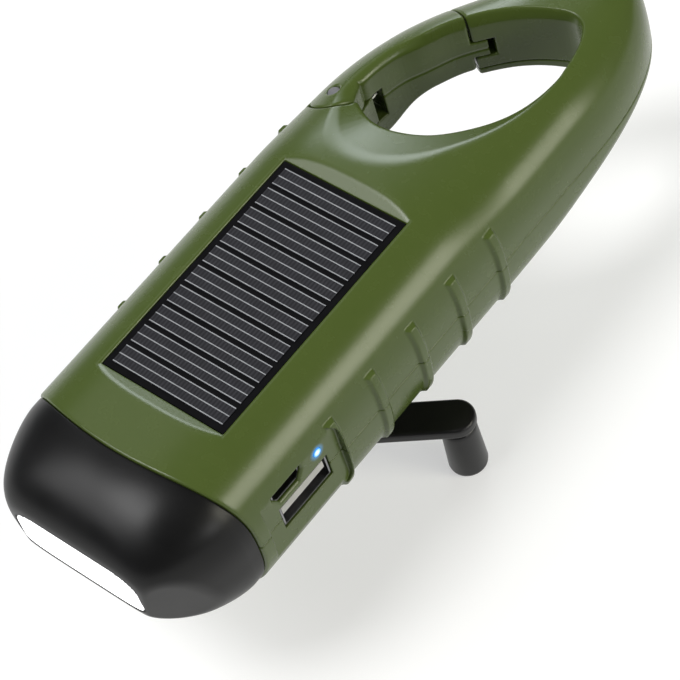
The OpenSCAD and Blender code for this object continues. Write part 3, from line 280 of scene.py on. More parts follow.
def eye_field(x, y):
    """Distance to the eye's outline, looked up in the table."""
    x, y = np.broadcast_arrays(x, y)
    u = np.clip((x - EYE_LOW[0]) / EYE_STEP, 0, EYE_N[0] - EYE_LAST)
    v = np.clip((y - EYE_LOW[1]) / EYE_STEP, 0, EYE_N[1] - EYE_LAST)
    i, j = u.astype(int), v.astype(int)
    fu, fv = u - i, v - j
    t = EYE_TABLE
    return ((t[i, j] * (1 - fu) + t[i + 1, j] * fu) * (1 - fv)
        + (t[i, j + 1] * (1 - fu) + t[i + 1, j + 1] * fu) * fv)


def band_top(x, y):
    """Height of the dished band outside the eye."""
    turn = np.arctan2(y, x) - math.radians(BAND_DIR)
    turn = np.where(turn > math.pi, turn - 2 * math.pi, turn)
    share = np.maximum(0, np.cos(np.where(turn > 0, turn * BAND_TRAIL, turn)))
    return BAND_RIM_Z + BAND_RISE * np.maximum(eye_field(x, y), 0) / (BAND_EDGE_W + BAND_W * share)


def wedge_field(x, y, start, end):
    """Sector about the gate's pin, in degrees, wider than a half turn if need be."""
    mid, half = math.radians((start + end) / 2), math.radians((end - start) / 2)
    r = np.hypot(x - PIN[0], y - PIN[1])
    turn = np.abs(np.angle(np.exp(1j * (np.arctan2(y - PIN[1], x - PIN[0]) - mid))))
    return np.sin(np.clip(turn - half, -math.pi / 2, math.pi / 2)) * r


def gate_zone(x, y, start, end, gap):
    arm = np.maximum(round_column(x, y, PIN, GATE_L + gap), wedge_field(x, y, start, end))
    return np.minimum(round_column(x, y, PIN, TAIL_R + gap), arm)


def nub_field(x, y, z, reach, gap):
    """Latch nub at the gate's end, or with a gap the notch for it."""
    r = np.hypot(x - PIN[0], y - PIN[1])
    ring = np.maximum(r - GATE_L - reach, GATE_L - NUB_ROOT + gap * NOTCH_ROOT - r)
    return all_of(ring, np.abs(z - NUB_Z) - NUB_HALF - gap,
        wedge_field(x, y, NUB_FROM - NOTCH_FROM * gap, NUB_TO + NOTCH_TO * gap))


def recess_field(x, y, z):
    """Seat of the panel with its bevelled rim."""
    rise = np.clip((z - PANEL_Z + BEVEL_SINK) / BEVEL_H, 0, BEVEL_REACH)
    side = (np.abs(x) - PANEL_W / 2 - PANEL_GAP - BEVEL_SIDE * rise) * SIDE_SLOPE
    end = (np.abs(y - PANEL_Y) - PANEL_L / 2 - PANEL_GAP - BEVEL_END * rise) * END_SLOPE
    return np.maximum(np.maximum(side, end), PANEL_BASE_Z - z)


def micro_field(y, z, grow):
    """Micro-USB outline with its lower corners cut."""
    w, h = MICRO_W / 2 + grow, MICRO_H / 2 + grow
    v, u = z - MICRO_Z, np.abs(y - MICRO_Y)
    corner = (u - w + MICRO_CUT + (-v - h * MICRO_CUT_H) * MICRO_LEAN) * MICRO_SLOPE
    return all_of(u - w, np.abs(v) - h, corner)


def port_openings(x, y, z):
    usb = box_field(x, y, z,
        (PORT_IN_X, USB_Y - USB_W / 2 - PORT_SLIP, USB_Z - USB_H / 2 - PORT_SLIP),
        (PORT_OUT_X, USB_Y + USB_W / 2 + PORT_SLIP, USB_Z + USB_H / 2 + PORT_SLIP))
    outline = micro_field(y, z, PORT_SLIP)
    micro = np.maximum(PORT_IN_X - x, outline)
    flare = np.maximum(outline - (x - FLARE_X) * FLARE_SLOPE, FLARE_FROM_X - x)
    bore = np.hypot(y - LIGHT_Y, z - LIGHT_Z) - LIGHT_D / 2 - LIGHT_GAP
    return any_of(usb, micro, flare, np.maximum(PORT_IN_X - x, bore))


def port_flat(x, y, z):
    along = np.maximum(np.abs(y - USB_Y + FLAT_SHIFT) - FLAT_HALF_L, 0)
    up = np.maximum(np.abs(z) - FLAT_HALF_H, 0)
    return np.maximum(PORT_X - x, np.hypot(along, up) - FLAT_CORNER_R)


def button_opening(x, y, z):
    w, h = BUTTON_W + BUTTON_GAP, BUTTON_H + BUTTON_GAP
    along = np.maximum(np.abs(y - BUTTON_Y) - (w - h) / 2, 0)
    return np.maximum(x - BUTTON_IN_X, np.hypot(along, z - BUTTON_Z) - h / 2)


def cavity(x, y, z):
    inner = section_field(x, z, HALF_W - WALL, HALF_H - WALL, HALF_H - WALL, POWER)
    ceiling = np.where(y < SEAM_Y + FRONT_ROOM_L, NO_CEILING, z - CEILING_Z)
    return all_of(inner, ceiling, y - CAVITY_END_Y)


def shell_skin(x, y, z):
    """Ribbed skin with the seam, the dished band, the eye and the gate's place, edges moulded."""
    d = smax(plain_skin(x, y, z) - rib_height(x, y, z), behind_seam(x, y), SEAM_ROUND)
    d = smax(d, z - band_top(x, y), BAND_ROUND)
    d = smax(d, -eye_field(x, y), EYE_ROUND)
    return smax(d, -gate_zone(x, y, GATE_ZONE_FROM, GATE_ZONE_TO, GATE_GAP), GATE_ROUND)


def side_cuts(d, x, y, z):
    """A shell's field after the cuts for the port flat, the ports and the button."""
    d = smax(d, -port_flat(x, y, z), FLAT_ROUND)
    d = smax(d, -port_openings(x, y, z), PORT_ROUND)
    return smax(d, -button_opening(x, y, z), BUTTON_ROUND)


def lug_field(x, y, z):
    """Hinge lug inside the gate's fork."""
    foot = box_field(x, y, z, (PIN[0] - LUG_LEFT, PIN[1] - LUG_BASE_L, -LUG_TALL),
        (PIN[0] + LUG_RIGHT, PIN[1], LUG_TALL))
    plan = np.minimum(round_column(x, y, PIN, LUG_R), foot)
    return all_of(plan, LUG_Z - z, z - LUG_TOP_Z, -round_column(x, y, PIN, PIN_BORE_R),
        -eye_field(x, y), plain_skin(x, y, z))


def top_field(x, y, z):
    d = shell_skin(x, y, z)
    d = smax(d, -nub_field(x, y, z, NUB_REACH + NOTCH_ROOM, GATE_GAP), NOTCH_ROUND)
    d = smax(d, -recess_field(x, y, z), RECESS_ROUND)
    d = np.maximum(side_cuts(d, x, y, z), -cavity(x, y, z))
    d = np.minimum(d, lug_field(x, y, z))
    return smax(d, PARTING_GAP - z, PARTING_ROUND)


def stowed_crank(x, y, z, hub_gap, well_z, arm_gap, arm_rise, knob_gap, knob_rise):
    """Hub well, arm recess and knob pocket in the back, wider and deeper than the crank."""
    well = np.maximum(round_column(x, y, CRANK_AT, HUB_R + hub_gap), z - well_z)
    half = ARM_W / 2 + arm_gap
    arm = all_of(np.abs(x) - half, CRANK_Y - y, y - CRANK_Y - CRANK_L,
        z - BACK_Z - ARM_T - arm_rise)
    pocket = np.maximum(round_column(x, y, STOW_AT, KNOB_D / 2 + knob_gap),
        z - BACK_Z - ARM_T - KNOB_L - knob_rise)
    return any_of(well, arm, pocket)


def bottom_field(x, y, z):
    d = side_cuts(shell_skin(x, y, z), x, y, z)
    bosses = stowed_crank(x, y, z, **CRANK_WALLS)
    for at in SCREWS:
        bosses = np.minimum(bosses, round_column(x, y, at, SCREW_BOSS_R))
    d = np.maximum(d, -np.maximum(cavity(x, y, z), -bosses))
    bore = np.maximum(round_column(x, y, CRANK_AT, SHAFT_BORE_R), z - BORE_TOP_Z)
    d = smax(d, -np.minimum(stowed_crank(x, y, z, **CRANK_ROOM), bore), WELL_ROUND)
    for at in SCREWS:
        hole = np.maximum(round_column(x, y, at, SCREW_HOLE_R), z - SCREW_TOP_Z)
        d = smax(d, -hole, SCREW_ROUND)
    return smax(d, z + PARTING_GAP, PARTING_ROUND)


def gate_field(x, y, z):
    outer, eye = plain_skin(x, y, z), eye_field(x, y)
    under = -GATE_DEPTH + GATE_RISE * ease((y - GATE_LOW_Y) / GATE_RISE_L)
    d = smax(outer, gate_zone(x, y, GATE_FROM, GATE_TO, 0.0), GATE_ROUND)
    d = smax(d, under - z, GATE_FLOOR_ROUND)
    d = smax(d, z - band_top(x, y), GATE_BAND_ROUND)
    d = smax(d, -eye, GATE_EYE_ROUND)
    d = np.minimum(d, all_of(nub_field(x, y, z, NUB_REACH, 0.0), outer, -eye))
    slot = np.maximum(round_column(x, y, PIN, FORK_R), np.abs(z - SLOT_Z) - SLOT_HALF)
    d = smax(d, -slot, SLOT_ROUND)
    line = (GATE_LINE_DEPTH * np.exp(-((z - GATE_LINE_Z) / GATE_LINE_W) ** 2)
        * np.exp(-(eye / GATE_LINE_REACH) ** 2))
    return smax(d + line, -round_column(x, y, PIN, PIN_BORE_R), PIN_ROUND)


def run_out(t, start, end, bow):
    """Size that runs from start to end along a curve with two powers."""
    return end + (start - end) * (1 - t ** bow[0]) ** bow[1]


def head_outline(y):
    """Half width, height, depth and power of the head's section."""
    t = np.clip((SEAM_Y - y) / HEAD_L, 0, 1)
    w = run_out(t, HALF_W - SEAM_STEP, FACE_W / 2, HEAD_W_BOW)
    up = run_out(t, HALF_H - SEAM_STEP, FACE_UP, HEAD_UP_BOW)
    down = run_out(t, HALF_H - SEAM_STEP, FACE_DOWN, HEAD_DOWN_BOW)
    return w, up, down, POWER + (FACE_POWER - POWER) * t ** FACE_BLEND


def face_field(x, z, inset):
    return section_field(x, z, FACE_W / 2 - inset, FACE_UP - inset, FACE_DOWN - inset, FACE_POWER)


def head_field(x, y, z):
    d = section_field(x, z, *head_outline(y)) * HEAD_SLOPE
    d = smax(d, FACE_Y - y, FACE_ROUND)
    u = np.abs(x) - FACE_W / 2 - CHEEK_OUT
    plan = u * math.cos(CHEEK_TURN) + (y - FACE_Y) * math.sin(CHEEK_TURN)
    cheek = plan * math.cos(CHEEK_TILT) - (z - LED_Z) * math.sin(CHEEK_TILT)
    d = smax(d, cheek, CHEEK_ROUND)
    d = smax(d, -behind_seam(x, y), SEAM_ROUND)
    room = np.maximum(section_field(x, z, *HEAD_ROOM, POWER), SEAM_Y - HEAD_ROOM_L - y)
    pocket = np.maximum(face_field(x, z, RIM_W - LENS_LAP), FACE_Y + LENS_SINK - y)
    mouth = np.maximum(face_field(x, z, RIM_W), y - FACE_Y - MOUTH_L)
    return np.maximum(d, -any_of(room, pocket, mouth))


def crank_local(x, y):
    """Plan coordinates along and across the crank arm."""
    c, s = math.cos(CRANK_ANGLE), math.sin(CRANK_ANGLE)
    return x * c + (y - CRANK_Y) * s, -x * s + (y - CRANK_Y) * c


def arm_field(x, y, z):
    u, v = crank_local(x, y)
    flat = np.abs(z - (ARM_TOP_Z - ARM_T / 2)) - ARM_T / 2
    plan = np.where(u < CRANK_L, np.abs(v), np.hypot(u - CRANK_L, v)) - ARM_W / 2
    plate = smax(smax(plan, ARM_ROOT - u, ARM_ROOT_ROUND), flat, ARM_ROUND)
    neck = all_of(np.abs(v) - BARREL_HALF, ARM_START - u, u - NECK_END, flat)
    hinge = np.hypot(u, z - HINGE_Z)
    barrel = np.maximum(hinge - BARREL_R, np.abs(v) - BARREL_HALF)
    d = smin(smin(plate, neck, NECK_BLEND), barrel, BARREL_BLEND)
    dimple = np.hypot(np.hypot(u - DIMPLE_AT[0], v - DIMPLE_AT[1]), z - ARM_TOP_Z) - DIMPLE_R
    return np.maximum(smax(d, -dimple, DIMPLE_ROUND), -(hinge - HINGE_BORE_R))


# Meshes from fields

CORNERS = [(i, j, k) for k in (0, 1) for j in (0, 1) for i in (0, 1)]
EDGES = [(c, tuple(c[k] + (k == axis) for k in range(3)))
    for axis in range(3) for c in CORNERS if c[axis] == 0]
RING = ((-1, -1), (0, -1), (0, 0), (-1, 0))
SLAB = 64
# Grid steps beyond the low and the high corner
LOW_MARGIN, HIGH_MARGIN = 2, 2.5
# Moves onto the surface: how many, reach of the slope, its least square, longest move in steps
SETTLE_COUNT, SETTLE_REACH, SETTLE_MIN, SETTLE_MOVE = 2, 0.05, 0.05, 0.4
NORMAL_REACH = 0.12


def sample(field, axes):
    """Field on a grid, worked out in slabs along Y to keep memory low."""
    x, y, z = axes
    out = np.empty((len(x), len(y), len(z)), np.float32)
    for j in range(0, len(y), SLAB):
        slab = y[j:j + SLAB]
        out[:, j:j + SLAB] = field(x[:, None, None], slab[None, :, None], z[None, None, :])
    return out


def slope_at(field, p, h):
    g = np.empty_like(p)
    for k in range(3):
        a, b = p.copy(), p.copy()
        a[:, k] += h
        b[:, k] -= h
        g[:, k] = field(*a.T) - field(*b.T)
    return g / (2 * h)


def cell_points(d):
    """A point for each grid cell that the surface crosses, in steps, and the cells' numbers."""
    inside = d < 0
    count = np.zeros([n - 1 for n in d.shape], np.int8)
    for i, j, k in CORNERS:
        count += inside[i:i + count.shape[0], j:j + count.shape[1], k:k + count.shape[2]]
    cells = np.argwhere((count > 0) & (count < len(CORNERS)))
    index = np.full(count.shape, -1, np.int32)
    index[tuple(cells.T)] = np.arange(len(cells))
    total, hits = np.zeros((len(cells), 3)), np.zeros(len(cells))
    for a, b in EDGES:
        va, vb = d[tuple((cells + a).T)], d[tuple((cells + b).T)]
        cut = (va < 0) != (vb < 0)
        t = (va / np.where(cut, va - vb, 1))[cut, None]
        total[cut] += np.array(a) + t * (np.array(b) - np.array(a))
        hits[cut] += 1
    return cells + total / hits[:, None], index


def cell_quads(inside, index):
    """A quad round each grid edge that the surface crosses, facing outwards."""
    quads = []
    for axis in range(3):
        u, v = (axis + 1) % 3, (axis + 2) % 3
        low, high = [slice(None)] * 3, [slice(None)] * 3
        low[axis], high[axis] = slice(None, -1), slice(1, None)
        a, b = inside[tuple(low)], inside[tuple(high)]
        edge = np.argwhere(a != b)
        for k in (u, v):
            edge = edge[(edge[:, k] > 0) & (edge[:, k] < inside.shape[k] - 1)]
        starts_inside = a[tuple(edge.T)]
        ring = []
        for du, dv in RING:
            c = edge.copy()
            c[:, u] += du
            c[:, v] += dv
            ring.append(index[tuple(c.T)])
        ring = np.stack(ring, 1)
        ring[~starts_inside] = ring[~starts_inside, ::-1]
        quads.append(ring)
    return np.concatenate(quads)


def net(field, lo, hi, step):
    """Closed surface of a field: points, quads and outward normals."""
    axes = [np.arange(lo[k] - LOW_MARGIN * step, hi[k] + HIGH_MARGIN * step, step)
        for k in range(3)]
    d = sample(field, axes)
    places, index = cell_points(d)
    points = np.array([axis[0] for axis in axes]) + step * places
    limit = SETTLE_MOVE * step
    for _ in range(SETTLE_COUNT):
        g = slope_at(field, points, SETTLE_REACH)
        size = np.maximum((g * g).sum(1), SETTLE_MIN)
        points = points - np.clip((field(*points.T) / size)[:, None] * g, -limit, limit)
    normals = slope_at(field, points, NORMAL_REACH)
    normals /= np.maximum(np.linalg.norm(normals, axis=1), TINY)[:, None]
    return points, cell_quads(d < 0, index), normals


def new_object(name, data):
    obj = bpy.data.objects.new(name, data)
    bpy.context.scene.collection.objects.link(obj)
    return obj


def field_object(name, field, lo, hi, step):
    points, quads, normals = net(field, lo, hi, step)
    mesh = bpy.data.meshes.new(name)
    mesh.vertices.add(len(points))
    mesh.vertices.foreach_set("co", (points * MM).ravel())
    mesh.loops.add(4 * len(quads))
    mesh.loops.foreach_set("vertex_index", quads.ravel())
    mesh.polygons.add(len(quads))
    mesh.polygons.foreach_set("loop_start", np.arange(0, 4 * len(quads), 4))
    mesh.polygons.foreach_set("use_smooth", np.ones(len(quads), bool))
    mesh.update(calc_edges=True)
    mesh.validate()
    mesh.normals_split_custom_set_from_vertices(normals)
    return new_object(name, mesh)


def solid_from(name, verts, faces, smooth=False):
    mesh = bpy.data.meshes.new(name)
    mesh.from_pydata([tuple(c * MM for c in v) for v in verts], [], faces)
    mesh.update()
    for p in mesh.polygons:
        p.use_smooth = smooth
    return new_object(name, mesh)


BOX_FACES = ((0, 2, 3, 1), (4, 5, 7, 6), (0, 1, 5, 4), (2, 6, 7, 3), (0, 4, 6, 2), (1, 3, 7, 5))


def boxes(name, parts):
    """One mesh of axis-aligned boxes given by their low and high corners."""
    verts, faces = [], []
    for ends in parts:
        n = len(verts)
        verts += [(ends[i][0], ends[j][1], ends[k][2]) for i, j, k in CORNERS]
        faces += [tuple(n + k for k in face) for face in BOX_FACES]
    return solid_from(name, verts, faces)


def lathe(name, profile, at, sides=72):
    """Turned piece about a vertical axis from (radius, height) pairs."""
    turns = [2 * math.pi * i / sides for i in range(sides)]
    verts = [(at[0] + r * math.cos(turn), at[1] + r * math.sin(turn), z)
        for r, z in profile for turn in turns]
    faces = []
    for j in range(len(profile) - 1):
        for i in range(sides):
            k = (i + 1) % sides
            faces.append((j * sides + i, j * sides + k, (j + 1) * sides + k, (j + 1) * sides + i))
    faces.append(tuple(range(sides))[::-1])
    faces.append(tuple((len(profile) - 1) * sides + i for i in range(sides)))
    return solid_from(name, verts, faces, smooth=True)


def soften(obj, width, angle=30, segments=3):
    m = obj.modifiers.new("edges", "BEVEL")
    m.width = width * MM
    m.segments = segments
    m.limit_method = "ANGLE"
    m.angle_limit = math.radians(angle)


# Materials

TONE_DETAIL, TONE_LOW, TONE_HIGH = 4.0, 0.3, 0.7
GRAIN_SCALE, GRAIN_DETAIL, GRAIN_DEPTH = 9000.0, 2.0, 0.00005
GLOW_DETAIL = 2.0
CELL_LINES, CELL_GRAIN, CELL_DETAIL = 420.0, 700.0, 3.0


def set_inputs(n, values):
    for key, value in values.items():
        n.inputs[key].default_value = value


def material(name, **inputs):
    """New material with the given values on its shader."""
    m = bpy.data.materials.new(name)
    m.use_nodes = True
    shader = m.node_tree.nodes["Principled BSDF"]
    set_inputs(shader, {key.replace("_", " "): value for key, value in inputs.items()})
    return m, m.node_tree, shader


def node(tree, kind, inputs=None, **settings):
    n = tree.nodes.new(kind)
    for key, value in settings.items():
        setattr(n, key, value)
    set_inputs(n, inputs or {})
    return n


def noise_of(tree, scale, detail):
    where = node(tree, "ShaderNodeTexCoord")
    noise = node(tree, "ShaderNodeTexNoise", {"Scale": scale, "Detail": detail})
    tree.links.new(where.outputs["Object"], noise.inputs["Vector"])
    return noise.outputs["Fac"]


def ramp_of(tree, share, dark, light, start=0.0, end=1.0):
    """Colour between two tones by a share."""
    ramp = node(tree, "ShaderNodeValToRGB")
    first, last = ramp.color_ramp.elements
    first.color, last.color = (*dark, 1), (*light, 1)
    first.position, last.position = start, end
    tree.links.new(share, ramp.inputs["Fac"])
    return ramp.outputs["Color"]


def speckled(name, dark, light, rough, grain, bump=0.0, metallic=0.0, spread=0.05, specular=0.5):
    """Solid finish with a slight procedural change of tone and gloss."""
    m, tree, shader = material(name, Metallic=metallic, Specular_IOR_Level=specular)
    tone = noise_of(tree, grain, TONE_DETAIL)
    gloss = node(tree, "ShaderNodeMapRange", {"To Min": rough - spread, "To Max": rough + spread})
    colour = ramp_of(tree, tone, dark, light, TONE_LOW, TONE_HIGH)
    tree.links.new(colour, shader.inputs["Base Color"])
    tree.links.new(tone, gloss.inputs["Value"])
    tree.links.new(gloss.outputs["Result"], shader.inputs["Roughness"])
    if bump:
        lift = node(tree, "ShaderNodeBump", {"Strength": bump, "Distance": GRAIN_DEPTH})
        tree.links.new(noise_of(tree, GRAIN_SCALE, GRAIN_DETAIL), lift.inputs["Height"])
        tree.links.new(lift.outputs["Normal"], shader.inputs["Normal"])
    return m


def glow_by(tree, shader, share, dark, light):
    """Lit surface whose colour lies between two tones."""
    colour = ramp_of(tree, share, dark, light)
    tree.links.new(colour, shader.inputs["Base Color"])
    tree.links.new(colour, shader.inputs["Emission Color"])


def glowing(name, dark, light, strength, grain):
    m, tree, shader = material(name, Emission_Strength=strength)
    glow_by(tree, shader, noise_of(tree, grain, GLOW_DETAIL), dark, light)
    return m


def spread_from(tree, spot, near, far):
    """One at a point of the object, falling to zero between two distances in millimetres."""
    where = node(tree, "ShaderNodeTexCoord")
    gap = node(tree, "ShaderNodeVectorMath", {1: tuple(c * MM for c in spot)}, operation="DISTANCE")
    fall = node(tree, "ShaderNodeMapRange", {"From Min": near * MM, "From Max": far * MM,
        "To Min": 1.0, "To Max": 0.0}, interpolation_type="SMOOTHSTEP")
    tree.links.new(where.outputs["Object"], gap.inputs[0])
    tree.links.new(gap.outputs["Value"], fall.inputs["Value"])
    return fall.outputs["Result"]


def spot_light(name, spot, rim, middle, near, far):
    """Lit indicator with one colour in its middle and another at its rim."""
    m, tree, shader = material(name, Emission_Strength=1.0)
    glow_by(tree, shader, spread_from(tree, spot, near, far), rim, middle)
    return m


def add_painted_glow(m, spot, colour, strength, near, far):
    """Painted glow: emission on a material's surface round a light set in it, standing in for the
    light's spill.
    """
    tree = m.node_tree
    shader = tree.nodes["Principled BSDF"]
    glow = node(tree, "ShaderNodeMath", {1: strength}, operation="MULTIPLY")
    tree.links.new(spread_from(tree, spot, near, far), glow.inputs[0])
    tree.links.new(glow.outputs["Value"], shader.inputs["Emission Strength"])
    shader.inputs["Emission Color"].default_value = (*colour, 1)


def striped(name, dark, light, rough, specular):
    """Dark cell with fine paler stripes across its length."""
    m, tree, shader = material(name, Roughness=rough, Specular_IOR_Level=specular)
    where = node(tree, "ShaderNodeTexCoord")
    wave = node(tree, "ShaderNodeTexWave", {"Scale": CELL_LINES, "Distortion": 0.0, "Detail": 0.0},
        bands_direction="X")
    mix = node(tree, "ShaderNodeMath", operation="MULTIPLY")
    tree.links.new(where.outputs["Object"], wave.inputs["Vector"])
    tree.links.new(wave.outputs["Fac"], mix.inputs[0])
    tree.links.new(noise_of(tree, CELL_GRAIN, CELL_DETAIL), mix.inputs[1])
    colour = ramp_of(tree, mix.outputs["Value"], dark, light)
    tree.links.new(colour, shader.inputs["Base Color"])
    return m


OLIVE = speckled("olive_plastic", (0.0625, 0.0925, 0.0185), (0.0655, 0.0955, 0.0195),
    rough=0.27, grain=300.0, bump=0.05, spread=0.02, specular=0.38)
BLACK = speckled("black_plastic", (0.0045, 0.0045, 0.0048), (0.006, 0.006, 0.0064),
    rough=0.34, grain=120.0, bump=0.05, specular=0.22)
KNOB_BLACK = speckled("knob_plastic", (0.006, 0.006, 0.0064), (0.009, 0.009, 0.0095),
    rough=0.34, grain=120.0, bump=0.05, specular=0.35)
# Steel darker than the plain steel: painted shade on the port shells and the gate pin, which sit in
# recesses
SHADED_STEEL = speckled("port_steel_painted_shade", (0.20, 0.20, 0.21), (0.28, 0.28, 0.29),
    rough=0.3, grain=400.0, metallic=1.0)
STEEL = speckled("steel", (0.55, 0.56, 0.58), (0.68, 0.69, 0.71),
    rough=0.28, grain=400.0, metallic=1.0)
BRASS = speckled("brass", (0.55, 0.40, 0.16), (0.64, 0.48, 0.22),
    rough=0.3, grain=300.0, metallic=1.0)
NYLON = speckled("nylon", (0.72, 0.70, 0.64), (0.78, 0.77, 0.71), rough=0.5, grain=150.0)
BOARD = speckled("board", (0.012, 0.075, 0.03), (0.018, 0.10, 0.045), rough=0.45, grain=500.0)
INSERT = speckled("port_insert", (0.42, 0.42, 0.41), (0.50, 0.50, 0.49), rough=0.5, grain=400.0)
WRAP = speckled("battery_wrap", (0.5, 0.52, 0.56), (0.58, 0.6, 0.64),
    rough=0.35, grain=200.0, metallic=0.5)
FOAM = speckled("foam", (0.6, 0.6, 0.6), (0.72, 0.72, 0.72), rough=0.9, grain=900.0)
MIRROR = speckled("mirror_coat", (0.80, 0.81, 0.83), (0.86, 0.87, 0.89),
    rough=0.08, grain=200.0, metallic=1.0, spread=0.02)
PANEL = speckled("panel_black", (0.002, 0.002, 0.0025), (0.004, 0.004, 0.005),
    rough=0.25, grain=300.0, specular=0.06)
FINGER = speckled("finger_line", (0.27, 0.28, 0.30), (0.37, 0.38, 0.40),
    rough=0.35, grain=600.0, metallic=0.3)
CELL = striped("solar_cell", (0.008, 0.008, 0.011), (0.036, 0.036, 0.044),
    rough=0.3, specular=0.25)
LENS = glowing("lit_lens", (1.0, 1.0, 1.0), (0.97, 0.985, 1.0), strength=1.6, grain=60.0)
LED = glowing("lit_led", (1.0, 0.98, 0.9), (1.0, 0.95, 0.82), strength=1.5, grain=300.0)
BLUE = spot_light("blue_light", LIGHT_AT, (0.02, 0.2, 0.62), (0.62, 0.95, 1.0), near=0.1, far=1.0)
# painted glow: the olive plastic itself emits blue round the indicator light
add_painted_glow(OLIVE, LIGHT_AT, (0.04, 0.3, 0.75), strength=0.55, near=0.8, far=2.0)


def paint(obj, mat):
    obj.data.materials.clear()
    obj.data.materials.append(mat)


def own(obj, mat, slot_name, body, *nodes):
    paint(obj, mat)
    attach(obj, body)
    if nodes:
        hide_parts(*nodes)


# Moulded pieces, with the low and high corners and the steps of their grids
SHELL_STEP, GATE_STEP, HEAD_STEP, ARM_STEP = 0.3, 0.25, 0.3, 0.25
TOP_GRID = (-27, -104.5, 0), (27, 37, 18.3)
BOTTOM_GRID = (-27, -104.5, -18.3), (27, 37, 0)
GATE_GRID = (-27, -26, -6), (-1, 14, 17)
HEAD_GRID = (-26, -119.5, -18), (26, -97, 18)
ARM_GRID = (-4, CRANK_Y - 4, -23), (33, -44, -16.9)


def knob_profile():
    top = ARM_TOP_Z - ARM_T - KNOB_GAP
    low, r = top - KNOB_L, KNOB_D / 2
    return ([(KNOB_BORE_R, top)]
        + [(r - inset, top - drop) for inset, drop in KNOB_TOP_EDGE]
        + [(r - inset, low + rise) for inset, rise in KNOB_LOW_EDGE]
        + [(KNOB_SINK_R, low), (KNOB_SINK_R, low + KNOB_SINK), (KNOB_BORE_R, low + KNOB_SINK)])


def finger_lines():
    """Three fine lines on each cell of the panel: near its ends and in its middle."""
    pitch = (PANEL_L - 2 * PANEL_BORDER + CELL_GAP) / CELL_COUNT
    x0, x1 = -PANEL_W / 2 + PANEL_BORDER, PANEL_W / 2 - PANEL_BORDER
    lines = []
    for i in range(CELL_COUNT):
        y0 = PANEL_Y - PANEL_L / 2 + PANEL_BORDER + i * pitch
        y1 = y0 + pitch - CELL_GAP
        for mid in (y0 + FINGER_INSET, (y0 + y1) / 2, y1 - FINGER_INSET):
            lines.append(((x0, mid - FINGER_HALF, PANEL_Z),
                (x1, mid + FINGER_HALF, PANEL_Z + FINGER_T)))
    return lines


own(field_object("top_shell_moulded", top_field, *TOP_GRID, SHELL_STEP),
    OLIVE, "olive_plastic", "housing", "top_shell")
own(field_object("bottom_shell_moulded", bottom_field, *BOTTOM_GRID, SHELL_STEP),
    OLIVE, "olive_plastic", "housing", "bottom_shell")
own(field_object("gate_moulded", gate_field, *GATE_GRID, GATE_STEP),
    OLIVE, "olive_plastic", "gate", "gate")
own(field_object("head_moulded", head_field, *HEAD_GRID, HEAD_STEP),
    BLACK, "black_plastic", "housing", "head_bezel")
own(field_object("arm_moulded", arm_field, *ARM_GRID, ARM_STEP),
    KNOB_BLACK, "black_plastic", "arm", "crank_arm")
own(lathe("knob_moulded", knob_profile(), KNOB_AT),
    KNOB_BLACK, "black_plastic", "knob", "crank_knob")
own(boxes("cell_finger_lines", finger_lines()), FINGER, "cell", "housing")

# Carried-over pieces
finish_of = {
    "lens": LENS, "reflector": MIRROR, "led_board": BOARD, "leds": LED,
    "solar_panel": PANEL, "solar_cells": CELL, "main_board": BOARD, "board_screws": STEEL,
    # the port shells and the gate pin take the steel darkened with painted shade
    "usb_a_shell": SHADED_STEEL, "usb_a_tongue": INSERT,
    "micro_usb_shell": SHADED_STEEL, "micro_usb_tongue": BLACK,
    "indicator_light": BLUE, "tact_switch": BLACK, "button_cap": BLACK,
    "battery": WRAP, "battery_pad": FOAM, "generator": STEEL, "generator_pinion": BRASS,
    "gear_plate": STEEL, "plate_screws": STEEL, "gear_pins": STEEL,
    "idler_gear_1": NYLON, "idler_gear_2": NYLON, "crank_gear": NYLON, "crank_bush": BRASS,
    "crank_hub": KNOB_BLACK, "hub_washer": STEEL, "hub_screw": STEEL,
    "crank_hinge_pin": STEEL, "knob_axle": STEEL,
    "gate_pin": SHADED_STEEL, "gate_spring": STEEL, "case_screws": STEEL,
}
for name, mat in finish_of.items():
    paint(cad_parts[name], mat)
for name, width in SOFT_EDGES.items():
    soften(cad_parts[name], width)

# Floor and light
AMBIENT, HORIZON, HORIZON_LOW, HORIZON_TOP = 0.12, 0.8, 0.02, 0.06
FLOOR_LIFT, FLOOR_REACH = 0.50, 6000
low_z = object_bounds()[0][2] / MM


def floor_material():
    """Pale floor that keeps its shadows, lifted to white alike for the eye, metal and glass."""
    m = speckled("floor_white", (0.50, 0.50, 0.50), (0.52, 0.52, 0.52),
        rough=0.9, grain=3.0, specular=0.0)
    tree = m.node_tree
    path = node(tree, "ShaderNodeLightPath")
    seen = path.outputs["Is Camera Ray"]
    for ray in ("Is Glossy Ray", "Is Transmission Ray"):
        either = node(tree, "ShaderNodeMath", operation="MAXIMUM")
        tree.links.new(seen, either.inputs[0])
        tree.links.new(path.outputs[ray], either.inputs[1])
        seen = either.outputs["Value"]
    lift = node(tree, "ShaderNodeMapRange", {"To Max": FLOOR_LIFT})
    shader = tree.nodes["Principled BSDF"]
    shader.inputs["Emission Color"].default_value = (1, 1, 1, 1)
    tree.links.new(seen, lift.inputs["Value"])
    tree.links.new(lift.outputs["Result"], shader.inputs["Emission Strength"])
    return m


